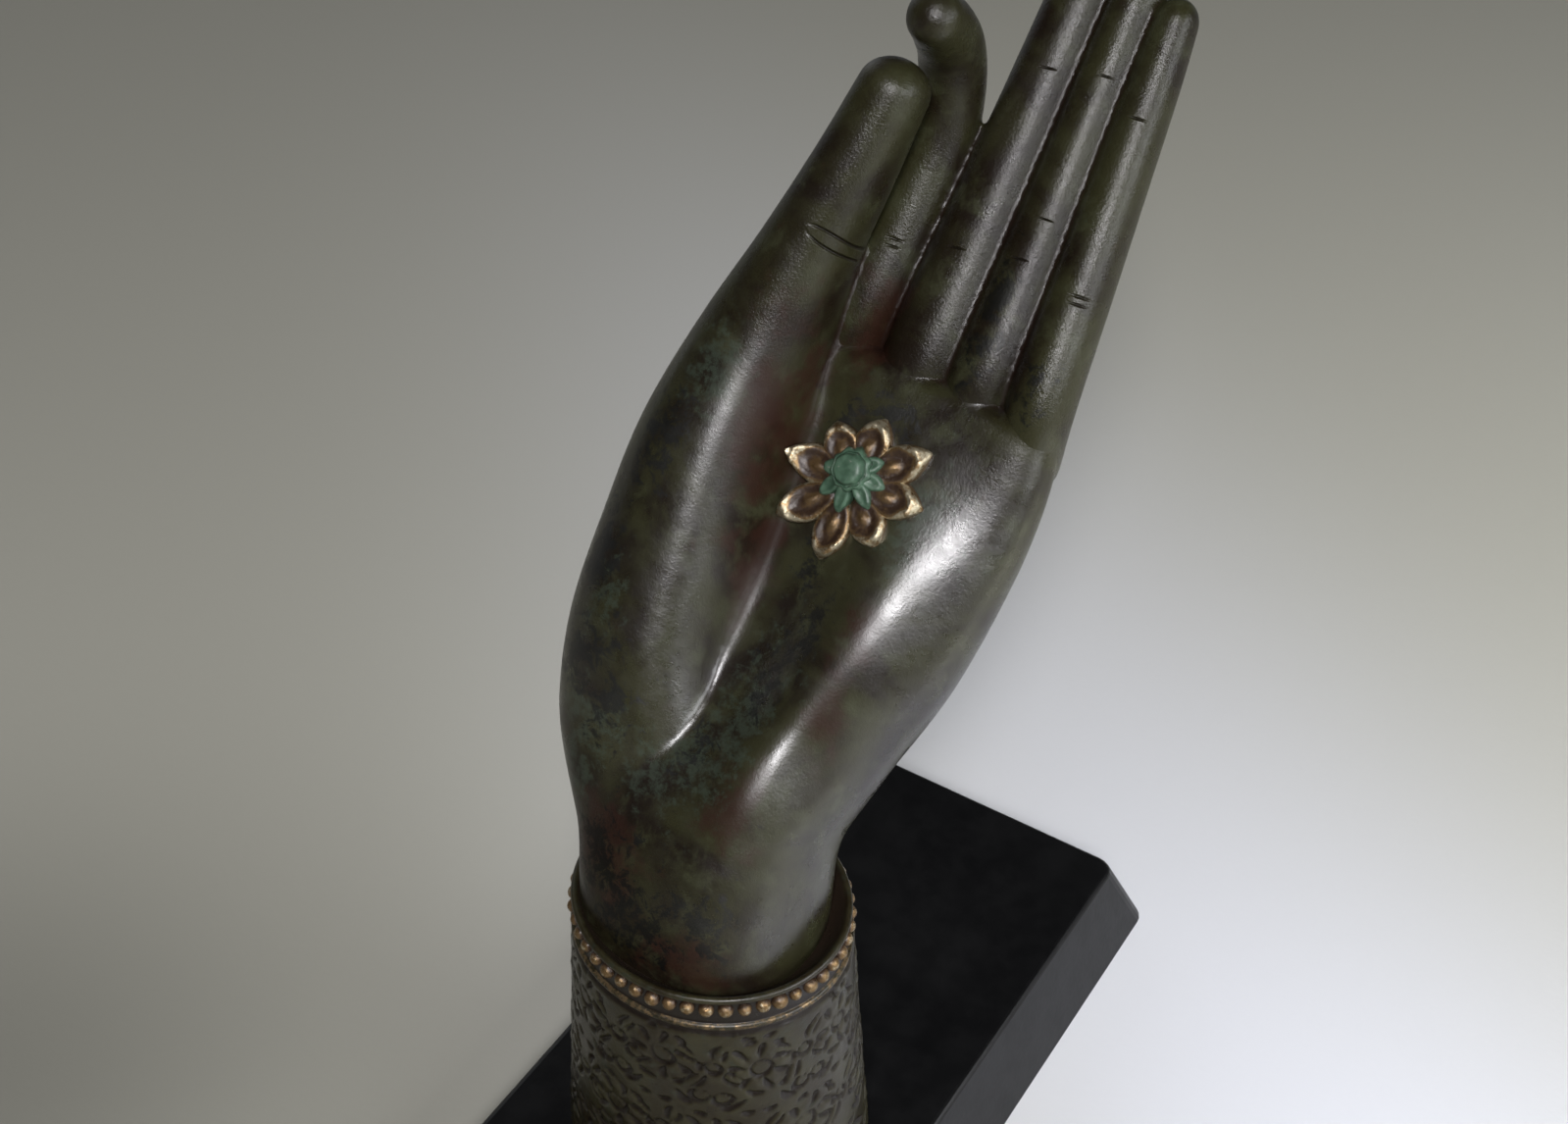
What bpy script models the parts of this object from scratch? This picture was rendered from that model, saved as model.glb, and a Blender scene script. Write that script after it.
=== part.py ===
"""A hand figurine: a cast left hand with thumb and bent forefinger meeting, rising from a flared,
ornamented sleeve, on a tapered plinth. Metres, +Z up. The palm faces -Y, the thumb is at -X, and the
origin is the middle of the plinth's underside."""
import math

import bmesh
import bpy
import numpy as np
from mathutils import Matrix, Vector

for old in list(bpy.data.objects):
    bpy.data.objects.remove(old, do_unlink=True)

MM = 0.001

# Plinth: a block that widens downward
plinth_top_width = 100 * MM
plinth_top_length = 200 * MM
plinth_height = 25 * MM
plinth_flare = 9 * MM
plinth_corner_radius = 5 * MM
plinth_edge_radius = 1.2 * MM

# Sleeve: upright, oval, wider at its foot, a little forward of the plinth's middle
sleeve_setback = 66 * MM
sleeve_height = 88 * MM
sleeve_rim_width = 66.5 * MM
sleeve_rim_depth = 60 * MM
sleeve_foot_width = 79 * MM
sleeve_foot_depth = 72 * MM
sleeve_flare_power = 0.9
lip_width = 2.4 * MM
lip_depth = 3.5 * MM

# Ornament of the sleeve: a bead string between two rolls, then a field of rosettes
band_height = 9.5 * MM
roll_radius = 0.9 * MM
bead_diameter = 3.0 * MM
bead_pitch = 4.15 * MM
rosette_diameter = 14 * MM
rosette_relief = 0.8 * MM
rosettes_around = 12
rosette_rows = 4

# Hand: its frame stands on the sleeve's axis and leans back
lean_back = math.radians(36)
wrist_height = 86 * MM
wrist_width = 59 * MM
wrist_depth = 50 * MM
palm_width = 86 * MM
palm_length = 130 * MM
palm_depth = 28 * MM
thenar_width = 42 * MM
thumb_width = 18.6 * MM
thumb_rise_past_palm = 64 * MM

# Fingers: width at the root, and length beyond the palm
finger_depth = 17 * MM
index_width = 17.2 * MM
index_straight_length = 52 * MM
index_reach = 30 * MM
middle_width = 18.4 * MM
middle_length = 120 * MM
ring_width = 15.2 * MM
ring_length = 111 * MM
little_width = 14.8 * MM
little_length = 95 * MM

# Flower in the palm: the petals spring from a point a little below the boss
flower_height_on_palm = 108 * MM
flower_offset = 4.7 * MM
flower_radius = 17.5 * MM
flower_stand = 13.6 * MM
flower_tilt = math.radians(7)
boss_radius = 4.2 * MM
petal_count = 8
petal_thickness = 3.6 * MM
petal_ring_drop = 3 * MM
flower_seat_depth = 11 * MM

# Fixing screws, up through the plinth into the sleeve's foot
screw_diameter = 5 * MM
screw_length = 38 * MM
screw_head_diameter = 10 * MM
screw_head_height = 3.6 * MM
screw_spacing = 32 * MM
counterbore_diameter = 13 * MM
counterbore_depth = 8 * MM

# Clearances
seat_gap = 0.3 * MM
bore_gap = 0.3 * MM

# How far a cutter stands out of the piece it cuts
cutter_overshoot = 5 * MM

# Fineness of the cast surface
cast_voxel = 1.6 * MM
cast_smoothing = 6
cast_face_share = 0.068
round_sides = 24

sleeve_axis_y = sleeve_setback - plinth_top_length / 2
sleeve_foot_z = plinth_height + seat_gap
thumb_length = palm_length + thumb_rise_past_palm


def material(name, colour, roughness, metallic=0.0):
    """A plain Principled material."""
    made = bpy.data.materials.new(name)
    made.use_nodes = True
    shader = made.node_tree.nodes["Principled BSDF"]
    shader.inputs["Base Color"].default_value = (*colour, 1.0)
    shader.inputs["Roughness"].default_value = roughness
    shader.inputs["Metallic"].default_value = metallic
    return made


def object_from(name, bm, finish=None, form_only=False):
    """Turns a bmesh into a named object; a form is only an operand for other pieces."""
    bmesh.ops.recalc_face_normals(bm, faces=bm.faces)
    mesh = bpy.data.meshes.new(name)
    bm.to_mesh(mesh)
    bm.free()
    made = bpy.data.objects.new(name, mesh)
    bpy.context.collection.objects.link(made)
    if finish:
        mesh.materials.append(finish)
    if form_only:
        made.hide_render = True
        made.display_type = "WIRE"
    return made


def add_rings(bm, rings):
    """Adds one closed body to bm: equal rings of points joined by quads, capped at both ends."""
    made = [[bm.verts.new(point) for point in ring] for ring in rings]
    count = len(made[0])
    for low, high in zip(made, made[1:]):
        for k in range(count):
            n = (k + 1) % count
            bm.faces.new((low[k], low[n], high[n], high[k]))
    bm.faces.new(list(reversed(made[0])))
    bm.faces.new(made[-1])


def smooth_curve(stations, count):
    """Reads a Catmull-Rom curve through rows of station values at count even steps."""
    rows = np.array(stations, float)
    padded = np.vstack([2 * rows[0] - rows[1], rows, 2 * rows[-1] - rows[-2]])
    out = []
    for s in np.linspace(0, len(rows) - 1, count):
        k = min(int(s), len(rows) - 2)
        t = s - k
        a, b, c, d = padded[k:k + 4]
        out.append(0.5 * (2 * b + (c - a) * t + (2 * a - 5 * b + 4 * c - d) * t ** 2
                          + (3 * b - a - 3 * c + d) * t ** 3))
    return np.array(out)


def add_limb(bm, stations, rings=28, sides=28, squareness=2.3, tip=1.0, end_rings=5, rise=None):
    """A closed limb of flesh: oval rings along a curve, each station giving the centre across, outward
    and up, then the half width and half depth. Both ends are rounded, the far one by tip. Where rise is
    given, rise(along, across) lifts the front by that height, along from 0 to 1 and across from -1 to 1."""
    path = smooth_curve(stations, rings)
    centres, half = path[:, :3], path[:, 3:]
    along = np.gradient(centres, axis=0)
    along /= np.linalg.norm(along, axis=1, keepdims=True)
    angle = np.linspace(0, 2 * math.pi, sides, endpoint=False)
    c = np.sign(np.cos(angle)) * np.abs(np.cos(angle)) ** (2 / squareness)
    s = np.sign(np.sin(angle)) * np.abs(np.sin(angle)) ** (2 / squareness)

    def ring(centre, axis, half_width, half_depth, place=0.0):
        across = np.array([1.0, 0.0, 0.0]) - axis * axis[0]
        across /= np.linalg.norm(across)
        inward = np.cross(axis, across)
        depth = half_depth * s
        if rise:
            depth = depth - rise(place, c) * np.clip(-s, 0, 1)
        return [centre + across * half_width * a + inward * b for a, b in zip(c, depth)]

    turn = np.radians(np.linspace(84, 12, end_rings))
    start_round = half[0].mean()
    end_round = half[-1].mean() * tip
    body = [ring(centres[0] - along[0] * start_round * math.sin(q), along[0], *(half[0] * math.cos(q)))
            for q in turn]
    places = np.linspace(0, 1, rings)
    body += [ring(centre, axis, *size, place) for centre, axis, size, place in zip(centres, along, half, places)]
    body += [ring(centres[-1] + along[-1] * end_round * math.sin(q), along[-1], *(half[-1] * math.cos(q)))
             for q in turn[::-1]]
    add_rings(bm, body)


def scaled(stations, across, outward, up, width, depth):
    """Turns stations given as shares into sizes. Outward is the way the palm faces, -Y."""
    unit = np.array([across, -outward, up, width, depth])
    return [unit * row for row in stations]


def bell(value, middle, spread):
    """A smooth bump of height 1 at middle."""
    return np.exp(-((value - middle) / spread) ** 2)


def palm_rise(along, across):
    """The palm's relief: the heel below the little finger, the pads under the fingers, the hollow."""
    heel = 0.28 * bell(across, 0.55, 0.33) * bell(along, 0.48, 0.20)
    pads = (0.07 + 0.11 * bell(across, 0.75, 0.45)) * bell(along, 0.96, 0.19)
    hollow = -0.06 * bell(across, -0.10, 0.30) * bell(along, 0.70, 0.18)
    return (heel + pads + hollow) * palm_depth


def palm_form(bm):
    """Wrist and palm: from inside the sleeve, leaning back and widening to the finger roots."""
    stations = scaled([(-0.01, -0.71, -0.24, 0.46, 0.48),
                       (-0.03, 0.02, 0.00, 0.50, 0.50),
                       (-0.09, 0.14, 0.19, 0.53, 0.43)],
                      wrist_width, palm_depth, palm_length, wrist_width, wrist_depth)
    stations += scaled([(-0.055, 0.02, 0.38, 0.42, 0.58),
                        (-0.02, -0.04, 0.58, 0.475, 0.52),
                        (0.00, -0.06, 0.77, 0.50, 0.49),
                        (0.015, -0.05, 0.92, 0.495, 0.46),
                        (0.03, -0.05, 1.00, 0.475, 0.41)],
                       palm_width, palm_depth, palm_length, palm_width, palm_depth)
    add_limb(bm, stations, rings=48, sides=48, squareness=2.6, tip=0.18, rise=palm_rise)


def thumb_form(bm):
    """The thumb and its mound: one long tapering limb laid over the palm's edge, its tip at thumb_length
    above the wrist."""
    mound = scaled([(-0.34, -0.10, -0.040, 0.24, 0.28),
                    (-0.50, 0.20, 0.055, 0.36, 0.46),
                    (-0.62, 0.36, 0.160, 0.455, 0.60),
                    (-0.69, 0.42, 0.280, 0.50, 0.71),
                    (-0.69, 0.40, 0.410, 0.50, 0.74),
                    (-0.685, 0.43, 0.530, 0.455, 0.70)],
                   thenar_width, palm_depth, thumb_length, thenar_width, palm_depth)
    shaft = scaled([(-1.41, 0.50, 0.660, 0.79, 0.57),
                    (-1.12, 0.64, 0.775, 0.58, 0.46),
                    (-0.76, 0.80, 0.880, 0.48, 0.385),
                    (-0.44, 0.94, 0.960, 0.44, 0.32)],
                   thumb_width, palm_depth, thumb_length, thumb_width, palm_depth)
    add_limb(bm, mound + shaft, rings=48, sides=36, squareness=2.2, tip=0.7)


def straight_finger(bm, root, tip, width, length):
    """A straight finger from inside the palm, tapering to a rounded tip; root and tip are places across."""
    shares = [(0.00, -0.12), (0.16, 0.06), (0.40, 0.30), (0.64, 0.55), (0.86, 0.80), (0.96, 0.945)]
    widths = (0.52, 0.50, 0.465, 0.42, 0.375, 0.325)
    stations = [(root + (tip - root) * across, -0.03 * finger_depth, palm_length + length * up,
                 width * wide, finger_depth * wide)
                for (across, up), wide in zip(shares, widths)]
    add_limb(bm, stations, squareness=2.6, tip=1.1)


def fingers_form(bm):
    """Middle, ring and little finger side by side, each starting where its neighbour ends."""
    middle_root = 0.27 * middle_width
    ring_root = middle_root + 0.48 * (middle_width + ring_width)
    little_root = ring_root + 0.51 * (ring_width + little_width)
    straight_finger(bm, middle_root, middle_root + 0.55 * middle_width, middle_width, middle_length)
    straight_finger(bm, ring_root, ring_root + 0.36 * ring_width, ring_width, ring_length)
    straight_finger(bm, little_root, little_root - 0.03 * little_width, little_width, little_length)
    index_root = middle_root - (middle_width + index_width) / 2
    index_form(bm, index_root)


def index_form(bm, root):
    """The forefinger: straight beside the middle finger, then bent forward and down to the thumb's tip."""
    straight = index_straight_length
    reach = index_reach
    stations = [(root, 0.02 * reach, palm_length - 0.2 * straight, 0.51, 0.50),
                (root + 0.08 * index_width, 0.03 * reach, palm_length + 0.20 * straight, 0.50, 0.50),
                (root + 0.25 * index_width, 0.06 * reach, palm_length + 0.62 * straight, 0.48, 0.49),
                (root + 0.40 * index_width, 0.12 * reach, palm_length + 0.98 * straight, 0.455, 0.47),
                (root + 0.45 * index_width, 0.27 * reach, palm_length + 1.18 * straight, 0.435, 0.45),
                (root + 0.48 * index_width, 0.53 * reach, palm_length + 1.31 * straight, 0.42, 0.43),
                (root + 0.50 * index_width, 0.80 * reach, palm_length + 1.36 * straight, 0.395, 0.40),
                (root + 0.51 * index_width, 1.00 * reach, palm_length + 1.375 * straight, 0.36, 0.36)]
    unit = np.array([1, -1, 1, index_width, finger_depth])
    add_limb(bm, [unit * row for row in stations], rings=40, squareness=2.2)


def oval(half_width, half_depth, z, count, swell=None):
    """A level oval ring; swell, if given, pushes each point outward."""
    push = np.zeros(count) if swell is None else swell
    angle = np.linspace(0, 2 * math.pi, count, endpoint=False)
    return [Vector(((half_width + p) * math.cos(a), (half_depth + p) * math.sin(a), z))
            for a, p in zip(angle, push)]


def sleeve_half_sizes(z):
    """Half width and half depth of the plain sleeve at a height over its foot, flaring to the foot."""
    rise = (z / sleeve_height) ** sleeve_flare_power
    return (0.5 * (sleeve_foot_width + (sleeve_rim_width - sleeve_foot_width) * rise),
            0.5 * (sleeve_foot_depth + (sleeve_rim_depth - sleeve_foot_depth) * rise))


def rosette_swell(angle, z, field_height):
    """Height of the rosette relief: staggered rows of round flowers, each a boss in a ring of petals."""
    row_pitch = field_height / rosette_rows
    swell = np.zeros_like(angle)
    for row in range(rosette_rows):
        centre_z = (row + 0.5) * row_pitch
        girth = sum(sleeve_half_sizes(centre_z)) / 2
        for k in range(rosettes_around):
            middle = (k + 0.5 * (row % 2)) * 2 * math.pi / rosettes_around
            across = (np.mod(angle - middle + math.pi, 2 * math.pi) - math.pi) * girth
            away = np.hypot(across, z - centre_z)
            petals = 0.5 + 0.5 * np.cos(6 * np.arctan2(z - centre_z, across))
            boss = np.exp(-(away / (0.17 * rosette_diameter)) ** 2)
            ring = np.exp(-((away - 0.36 * rosette_diameter) / (0.12 * rosette_diameter)) ** 2)
            swell = np.maximum(swell, np.maximum(boss, ring * (0.35 + 0.65 * petals)))
    return swell * rosette_relief


def sleeve_form():
    """The sleeve as one turned oval body: field of rosettes, two rolls, and a lip sloping in to the wrist."""
    columns = 80
    field_rows = 16
    field_height = sleeve_height - band_height
    angle = np.linspace(0, 2 * math.pi, columns, endpoint=False)
    rings = []
    for z in np.linspace(0, field_height - roll_radius, field_rows):
        swell = rosette_swell(angle, np.full(columns, z), field_height)
        fade = min(1.0, z / (2 * roll_radius))
        rings.append(oval(*sleeve_half_sizes(z), z, columns, swell * fade))
    for roll_z in (field_height, sleeve_height - roll_radius):
        for turn in (-60, 0, 60):
            z = roll_z + roll_radius * math.sin(math.radians(turn))
            bulge = np.full(columns, roll_radius * math.cos(math.radians(turn)))
            rings.append(oval(*sleeve_half_sizes(z), z, columns, bulge))
    rim = sleeve_half_sizes(sleeve_height)
    rings.append(oval(rim[0] - 0.3 * lip_width, rim[1] - 0.3 * lip_width, sleeve_height, columns))
    rings.append(oval(rim[0] - lip_width, rim[1] - lip_width, sleeve_height - 0.4 * lip_depth, columns))
    rings.append(oval(rim[0] - 1.6 * lip_width, rim[1] - 1.6 * lip_width, sleeve_height - lip_depth, columns))
    bm = bmesh.new()
    add_rings(bm, rings)
    made = object_from("sleeve_form", bm, form_only=True)
    made.location = (0, sleeve_axis_y, sleeve_foot_z)
    return made


def bead_string_form():
    """A string of beads round the sleeve between its rolls: one ring-shaped tube, thick at each bead."""
    z = sleeve_height - 0.5 * band_height - 0.5 * roll_radius
    half_width, half_depth = sleeve_half_sizes(z)
    girth = math.pi * (half_width + half_depth)
    beads = round(girth / bead_pitch)
    steps = 4
    sides = 6
    bm = bmesh.new()
    rings = []
    for k in range(beads * steps):
        angle = 2 * math.pi * k / (beads * steps)
        thick = bead_diameter / 2 * (0.62, 0.92, 1.0, 0.92)[k % steps]
        way = Vector((math.cos(angle), math.sin(angle), 0))
        centre = Vector((half_width * way.x, half_depth * way.y, z)) + way * 0.2 * bead_diameter
        rings.append([bm.verts.new(centre + way * thick * math.cos(turn) + Vector((0, 0, thick * math.sin(turn))))
                      for turn in (2 * math.pi * n / sides for n in range(sides))])
    for k, ring in enumerate(rings):
        following = rings[(k + 1) % len(rings)]
        for n in range(sides):
            m = (n + 1) % sides
            bm.faces.new((ring[n], ring[m], following[m], following[n]))
    made = object_from("bead_string_form", bm, form_only=True)
    made.location = (0, sleeve_axis_y, sleeve_foot_z)
    return made


def flower_forms(hand):
    """The flower in the palm: a low round seat that fills the hollow, leaf-shaped petals, and a boss."""
    ring_place = Vector((flower_offset, -flower_stand, flower_height_on_palm - petal_ring_drop))
    bm = bmesh.new()
    bmesh.ops.create_cone(bm, cap_ends=True, segments=2 * petal_count, radius1=0.88 * flower_radius,
                          radius2=flower_radius, depth=flower_seat_depth)
    seat = object_from("flower_seat_form", bm, form_only=True)
    seat.rotation_euler = (math.radians(-90), 0, 0)
    seat.location = ring_place + Vector((0, flower_seat_depth / 2, 0))
    pieces = [seat]
    for k in range(petal_count):
        bm = bmesh.new()
        reach = flower_radius * (1.0 if k % 2 == 0 else 0.88)
        stations = [(0, 0, 0.08 * reach, 0.10, 0.40), (0, 0, 0.42 * reach, 0.21, 0.44),
                    (0, 0, 0.66 * reach, 0.27, 0.50), (0, 0, 0.86 * reach, 0.19, 0.42),
                    (0, 0, 1.00 * reach, 0.05, 0.20)]
        unit = np.array([1, 1, 1, flower_radius, petal_thickness])
        add_limb(bm, [unit * row for row in stations], rings=5, sides=8, squareness=2.0, end_rings=1)
        petal = object_from(f"petal_form_{k + 1}", bm, form_only=True)
        petal.rotation_euler = (-flower_tilt, math.radians(5) + k * 2 * math.pi / petal_count, 0)
        petal.location = ring_place
        pieces.append(petal)
    bm = bmesh.new()
    bmesh.ops.create_uvsphere(bm, u_segments=12, v_segments=6, radius=boss_radius)
    boss = object_from("flower_boss_form", bm, form_only=True)
    boss.scale = (1, 1.15, 1)
    boss.location = (flower_offset, -flower_stand, flower_height_on_palm)
    pieces.append(boss)
    for piece in pieces:
        piece.parent = hand
    return pieces


def cutter(name, radius, low, high, place):
    """An upright cylinder between two heights at an (x, y) place, only for cutting."""
    bm = bmesh.new()
    bmesh.ops.create_cone(bm, cap_ends=True, segments=round_sides, radius1=radius, radius2=radius,
                          depth=high - low, matrix=Matrix.Translation((0, 0, (low + high) / 2)))
    made = object_from(name, bm, form_only=True)
    made.location = (*place, 0)
    return made


def boolean(target, operand, kind, solver="EXACT"):
    """Adds a Boolean modifier with another object as its operand."""
    step = target.modifiers.new(kind.title(), "BOOLEAN")
    step.operation = kind
    step.solver = solver
    step.object = operand


def screw_places():
    """The two screws stand on the sleeve's axis line, front and rear."""
    return {"front": (0, sleeve_axis_y - screw_spacing / 2), "rear": (0, sleeve_axis_y + screw_spacing / 2)}


def make_hand_casting(finish):
    """Hand, sleeve, beads and flower as the one casting that they are."""
    bm = bmesh.new()
    palm_form(bm)
    thumb_form(bm)
    fingers_form(bm)
    hand = object_from("hand_casting", bm, finish)
    hand.location = (0, sleeve_axis_y, plinth_height + wrist_height)
    hand.rotation_euler = (-lean_back, 0, 0)
    blend = hand.modifiers.new("Blend", "REMESH")
    blend.mode = "VOXEL"
    blend.voxel_size = cast_voxel
    soften = hand.modifiers.new("Soften", "SMOOTH")
    soften.factor = 0.5
    soften.iterations = cast_smoothing
    thin = hand.modifiers.new("Thin", "DECIMATE")
    thin.ratio = cast_face_share
    boolean(hand, sleeve_form(), "UNION")
    # The manifold solver keeps the many small crossings of beads and petals closed
    boolean(hand, bead_string_form(), "UNION", solver="MANIFOLD")
    for piece in flower_forms(hand):
        boolean(hand, piece, "UNION", solver="MANIFOLD")
    for place_name, place in screw_places().items():
        bore = cutter(f"hand_bore_form_{place_name}", screw_diameter / 2 + bore_gap,
                      plinth_height - cutter_overshoot, counterbore_depth + screw_length + bore_gap, place)
        boolean(hand, bore, "DIFFERENCE")
    return hand


def make_plinth(finish):
    """The tapered block, its edges rounded, with a counterbored hole for each screw."""
    bm = bmesh.new()
    bmesh.ops.create_cube(bm, size=1.0)
    for corner in bm.verts:
        grow = plinth_flare if corner.co.z < 0 else 0
        corner.co.x = math.copysign(plinth_top_width / 2 + grow, corner.co.x)
        corner.co.y = math.copysign(plinth_top_length / 2 + grow, corner.co.y)
        corner.co.z = 0 if corner.co.z < 0 else plinth_height
    upright = [edge for edge in bm.edges if abs(edge.verts[0].co.z - edge.verts[1].co.z) > plinth_height / 2]
    bmesh.ops.bevel(bm, geom=upright, offset=plinth_corner_radius, segments=5, affect="EDGES", profile=0.5)
    level = [edge for edge in bm.edges if abs(edge.verts[0].co.z - edge.verts[1].co.z) < plinth_height / 2]
    bmesh.ops.bevel(bm, geom=level, offset=plinth_edge_radius, segments=3, affect="EDGES", profile=0.5)
    plinth = object_from("plinth", bm, finish)
    for place_name, place in screw_places().items():
        hole = cutter(f"plinth_hole_form_{place_name}", screw_diameter / 2 + bore_gap,
                      -cutter_overshoot, plinth_height + cutter_overshoot, place)
        boolean(plinth, hole, "DIFFERENCE")
        recess = cutter(f"counterbore_form_{place_name}", counterbore_diameter / 2,
                        -cutter_overshoot, counterbore_depth, place)
        boolean(plinth, recess, "DIFFERENCE")
    return plinth


def make_screw(place_name, place, finish):
    """A pan-head screw: head in the counterbore, shank up through the plinth into the sleeve."""
    seat = counterbore_depth - seat_gap
    shank_radius = screw_diameter / 2
    head_radius = screw_head_diameter / 2
    crown = 0.25 * screw_head_height
    profile = [(0.0, seat - screw_head_height), (head_radius - crown, seat - screw_head_height),
               (head_radius, seat - screw_head_height + crown), (head_radius, seat), (shank_radius, seat),
               (shank_radius, seat + screw_length - shank_radius), (0.0, seat + screw_length)]
    bm = bmesh.new()
    outline = [bm.verts.new((radius, 0, z)) for radius, z in profile]
    edges = [bm.edges.new(pair) for pair in zip(outline, outline[1:])]
    bmesh.ops.spin(bm, geom=outline + edges, cent=(0, 0, 0), axis=(0, 0, 1), angle=2 * math.pi,
                     steps=round_sides)
    bmesh.ops.remove_doubles(bm, verts=bm.verts, dist=0.01 * MM)
    screw = object_from(f"fixing_screw_{place_name}", bm, finish)
    screw.location = (*place, 0)
    return screw


def shade(piece):
    """Smooth shading with crisp edges kept."""
    piece.data.shade_smooth()
    piece.data.set_sharp_from_angle(angle=math.radians(40))


patina = material("patina", (0.055, 0.052, 0.038), 0.34, 0.3)
black_lacquer = material("black_lacquer", (0.012, 0.012, 0.013), 0.38)
zinc_steel = material("zinc_steel", (0.55, 0.55, 0.56), 0.35, 1.0)

shade(make_hand_casting(patina))
shade(make_plinth(black_lacquer))
for screw_name, screw_place in screw_places().items():
    shade(make_screw(screw_name, screw_place, zinc_steel))
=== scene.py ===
# %% [markdown]
# A cast hand figurine: a left hand with its thumb and bent forefinger meeting, rising from an
# ornamented sleeve on a black plinth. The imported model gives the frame: what stands where, and how
# big it is. Here every visible surface is made again at full fineness around that frame.

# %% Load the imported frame
import math

import bmesh
import bpy
import numpy as np
from mathutils import Euler, Matrix, Vector


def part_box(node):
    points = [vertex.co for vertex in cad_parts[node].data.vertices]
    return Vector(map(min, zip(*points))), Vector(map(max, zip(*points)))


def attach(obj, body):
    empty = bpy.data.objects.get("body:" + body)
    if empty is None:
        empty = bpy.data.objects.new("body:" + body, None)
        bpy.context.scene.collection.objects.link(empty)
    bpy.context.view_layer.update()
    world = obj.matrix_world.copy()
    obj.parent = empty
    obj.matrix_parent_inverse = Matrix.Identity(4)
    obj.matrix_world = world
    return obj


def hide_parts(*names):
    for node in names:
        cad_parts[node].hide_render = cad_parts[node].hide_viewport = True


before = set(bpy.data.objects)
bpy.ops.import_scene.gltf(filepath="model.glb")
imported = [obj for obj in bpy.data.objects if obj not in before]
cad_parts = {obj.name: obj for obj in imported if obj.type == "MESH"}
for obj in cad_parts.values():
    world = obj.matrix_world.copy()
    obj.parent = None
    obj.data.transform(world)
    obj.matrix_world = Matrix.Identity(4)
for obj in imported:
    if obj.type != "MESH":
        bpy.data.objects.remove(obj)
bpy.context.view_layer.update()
MM = 0.001
plinth_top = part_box("plinth")[1].z
sleeve_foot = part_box("hand_casting")[0].z

# %% [markdown]
# The pieces are worked out as grids of points: a shape is a function of two parameters, one that
# runs along it and one that runs round it. A round body is a stack of rings, so one helper turns any
# number of ring stacks into one closed mesh. The alternative, adding vertices one at a time, is slow
# for a surface of this fineness.

# %% Helpers for grids
def bell(value, middle, spread):
    """A smooth bump: e to the power of minus the squared distance from middle, in spreads."""
    return np.exp(-((value - middle) / spread) ** 2)


def ease(value, low, high):
    """Rises smoothly from 0 at low to 1 at high."""
    t = np.clip((value - low) / (high - low), 0, 1)
    return t * t * (3 - 2 * t)


def mesh_piece(name, points, faces):
    """Puts points (n, 3) and faces (lists of point numbers) into a smooth-shaded object, faces outward."""
    mesh = bpy.data.meshes.new(name)
    mesh.from_pydata(points.tolist(), [], faces)
    bm = bmesh.new()
    bm.from_mesh(mesh)
    bmesh.ops.recalc_face_normals(bm, faces=bm.faces)
    bm.to_mesh(mesh)
    bm.free()
    mesh.shade_smooth()
    made = bpy.data.objects.new(name, mesh)
    bpy.context.scene.collection.objects.link(made)
    return made


def stack_piece(name, stacks):
    """One mesh from ring stacks (rings, sides, 3): quads between rings, and a fan to a pole at each end."""
    points, faces, start = [], [], 0
    for stack in stacks:
        rings, sides = stack.shape[:2]
        ring, side = np.meshgrid(np.arange(rings - 1), np.arange(sides), indexing="ij")
        here = start + ring * sides + side
        beside = start + ring * sides + (side + 1) % sides
        faces += np.stack([here, beside, beside + sides, here + sides], -1).reshape(-1, 4).tolist()
        low_pole = start + rings * sides
        around = np.arange(sides)
        following = (around + 1) % sides
        last = start + (rings - 1) * sides
        faces += np.stack([start + following, start + around, np.full(sides, low_pole)], -1).tolist()
        faces += np.stack([last + around, last + following, np.full(sides, low_pole + 1)], -1).tolist()
        points += [stack.reshape(-1, 3), stack[0].mean(0)[None], stack[-1].mean(0)[None]]
        start = low_pole + 2
    return mesh_piece(name, np.vstack(points), faces)


def read_points(piece):
    """The vertices of a piece as an array (n, 3)."""
    points = np.empty(len(piece.data.vertices) * 3)
    piece.data.vertices.foreach_get("co", points)
    return points.reshape(-1, 3)


def write_points(piece, points):
    """Puts moved points back into a piece."""
    piece.data.vertices.foreach_set("co", points.ravel())
    piece.data.update()


def paint(piece, name, values):
    """Stores one number a vertex under a name that a material can read."""
    layer = piece.data.attributes.new(name, "FLOAT", "POINT")
    layer.data.foreach_set("value", np.asarray(values, np.float32))


def triangles(piece):
    """How many triangles a piece has."""
    return sum(len(face.vertices) - 2 for face in piece.data.polygons)


# %% [markdown]
# The hand leans back from the sleeve's axis. It is easiest to model upright, so its points are kept
# in a hand frame: across to the little finger, inward to the back of the hand, and up along the palm.
# Only the finished points are turned into the object's frame.

# %% The hand's frame
lean_back = math.radians(36)
wrist_height = 86 * MM
sleeve_axis_y = -34 * MM
hand_foot = np.array([0, sleeve_axis_y, plinth_top + wrist_height])
hand_up = np.array([0, math.sin(lean_back), math.cos(lean_back)])
hand_in = np.array([0, math.cos(lean_back), -math.sin(lean_back)])


def place_hand(points):
    """Hand-frame points (across, inward, up) as object points: foot + across, inward and up directions."""
    points = np.asarray(points, float)
    return (hand_foot + points[..., :1] * np.array([1.0, 0, 0]) + points[..., 1:2] * hand_in
            + points[..., 2:] * hand_up)


# %% [markdown]
# A finger, a thumb or a palm is a limb: oval rings carried along a curve. The curve passes through a
# few stations, each with its place and its half width and half depth, and a Catmull-Rom spline fills
# in between them, which keeps the flow of a modelled hand with few numbers.

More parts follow.
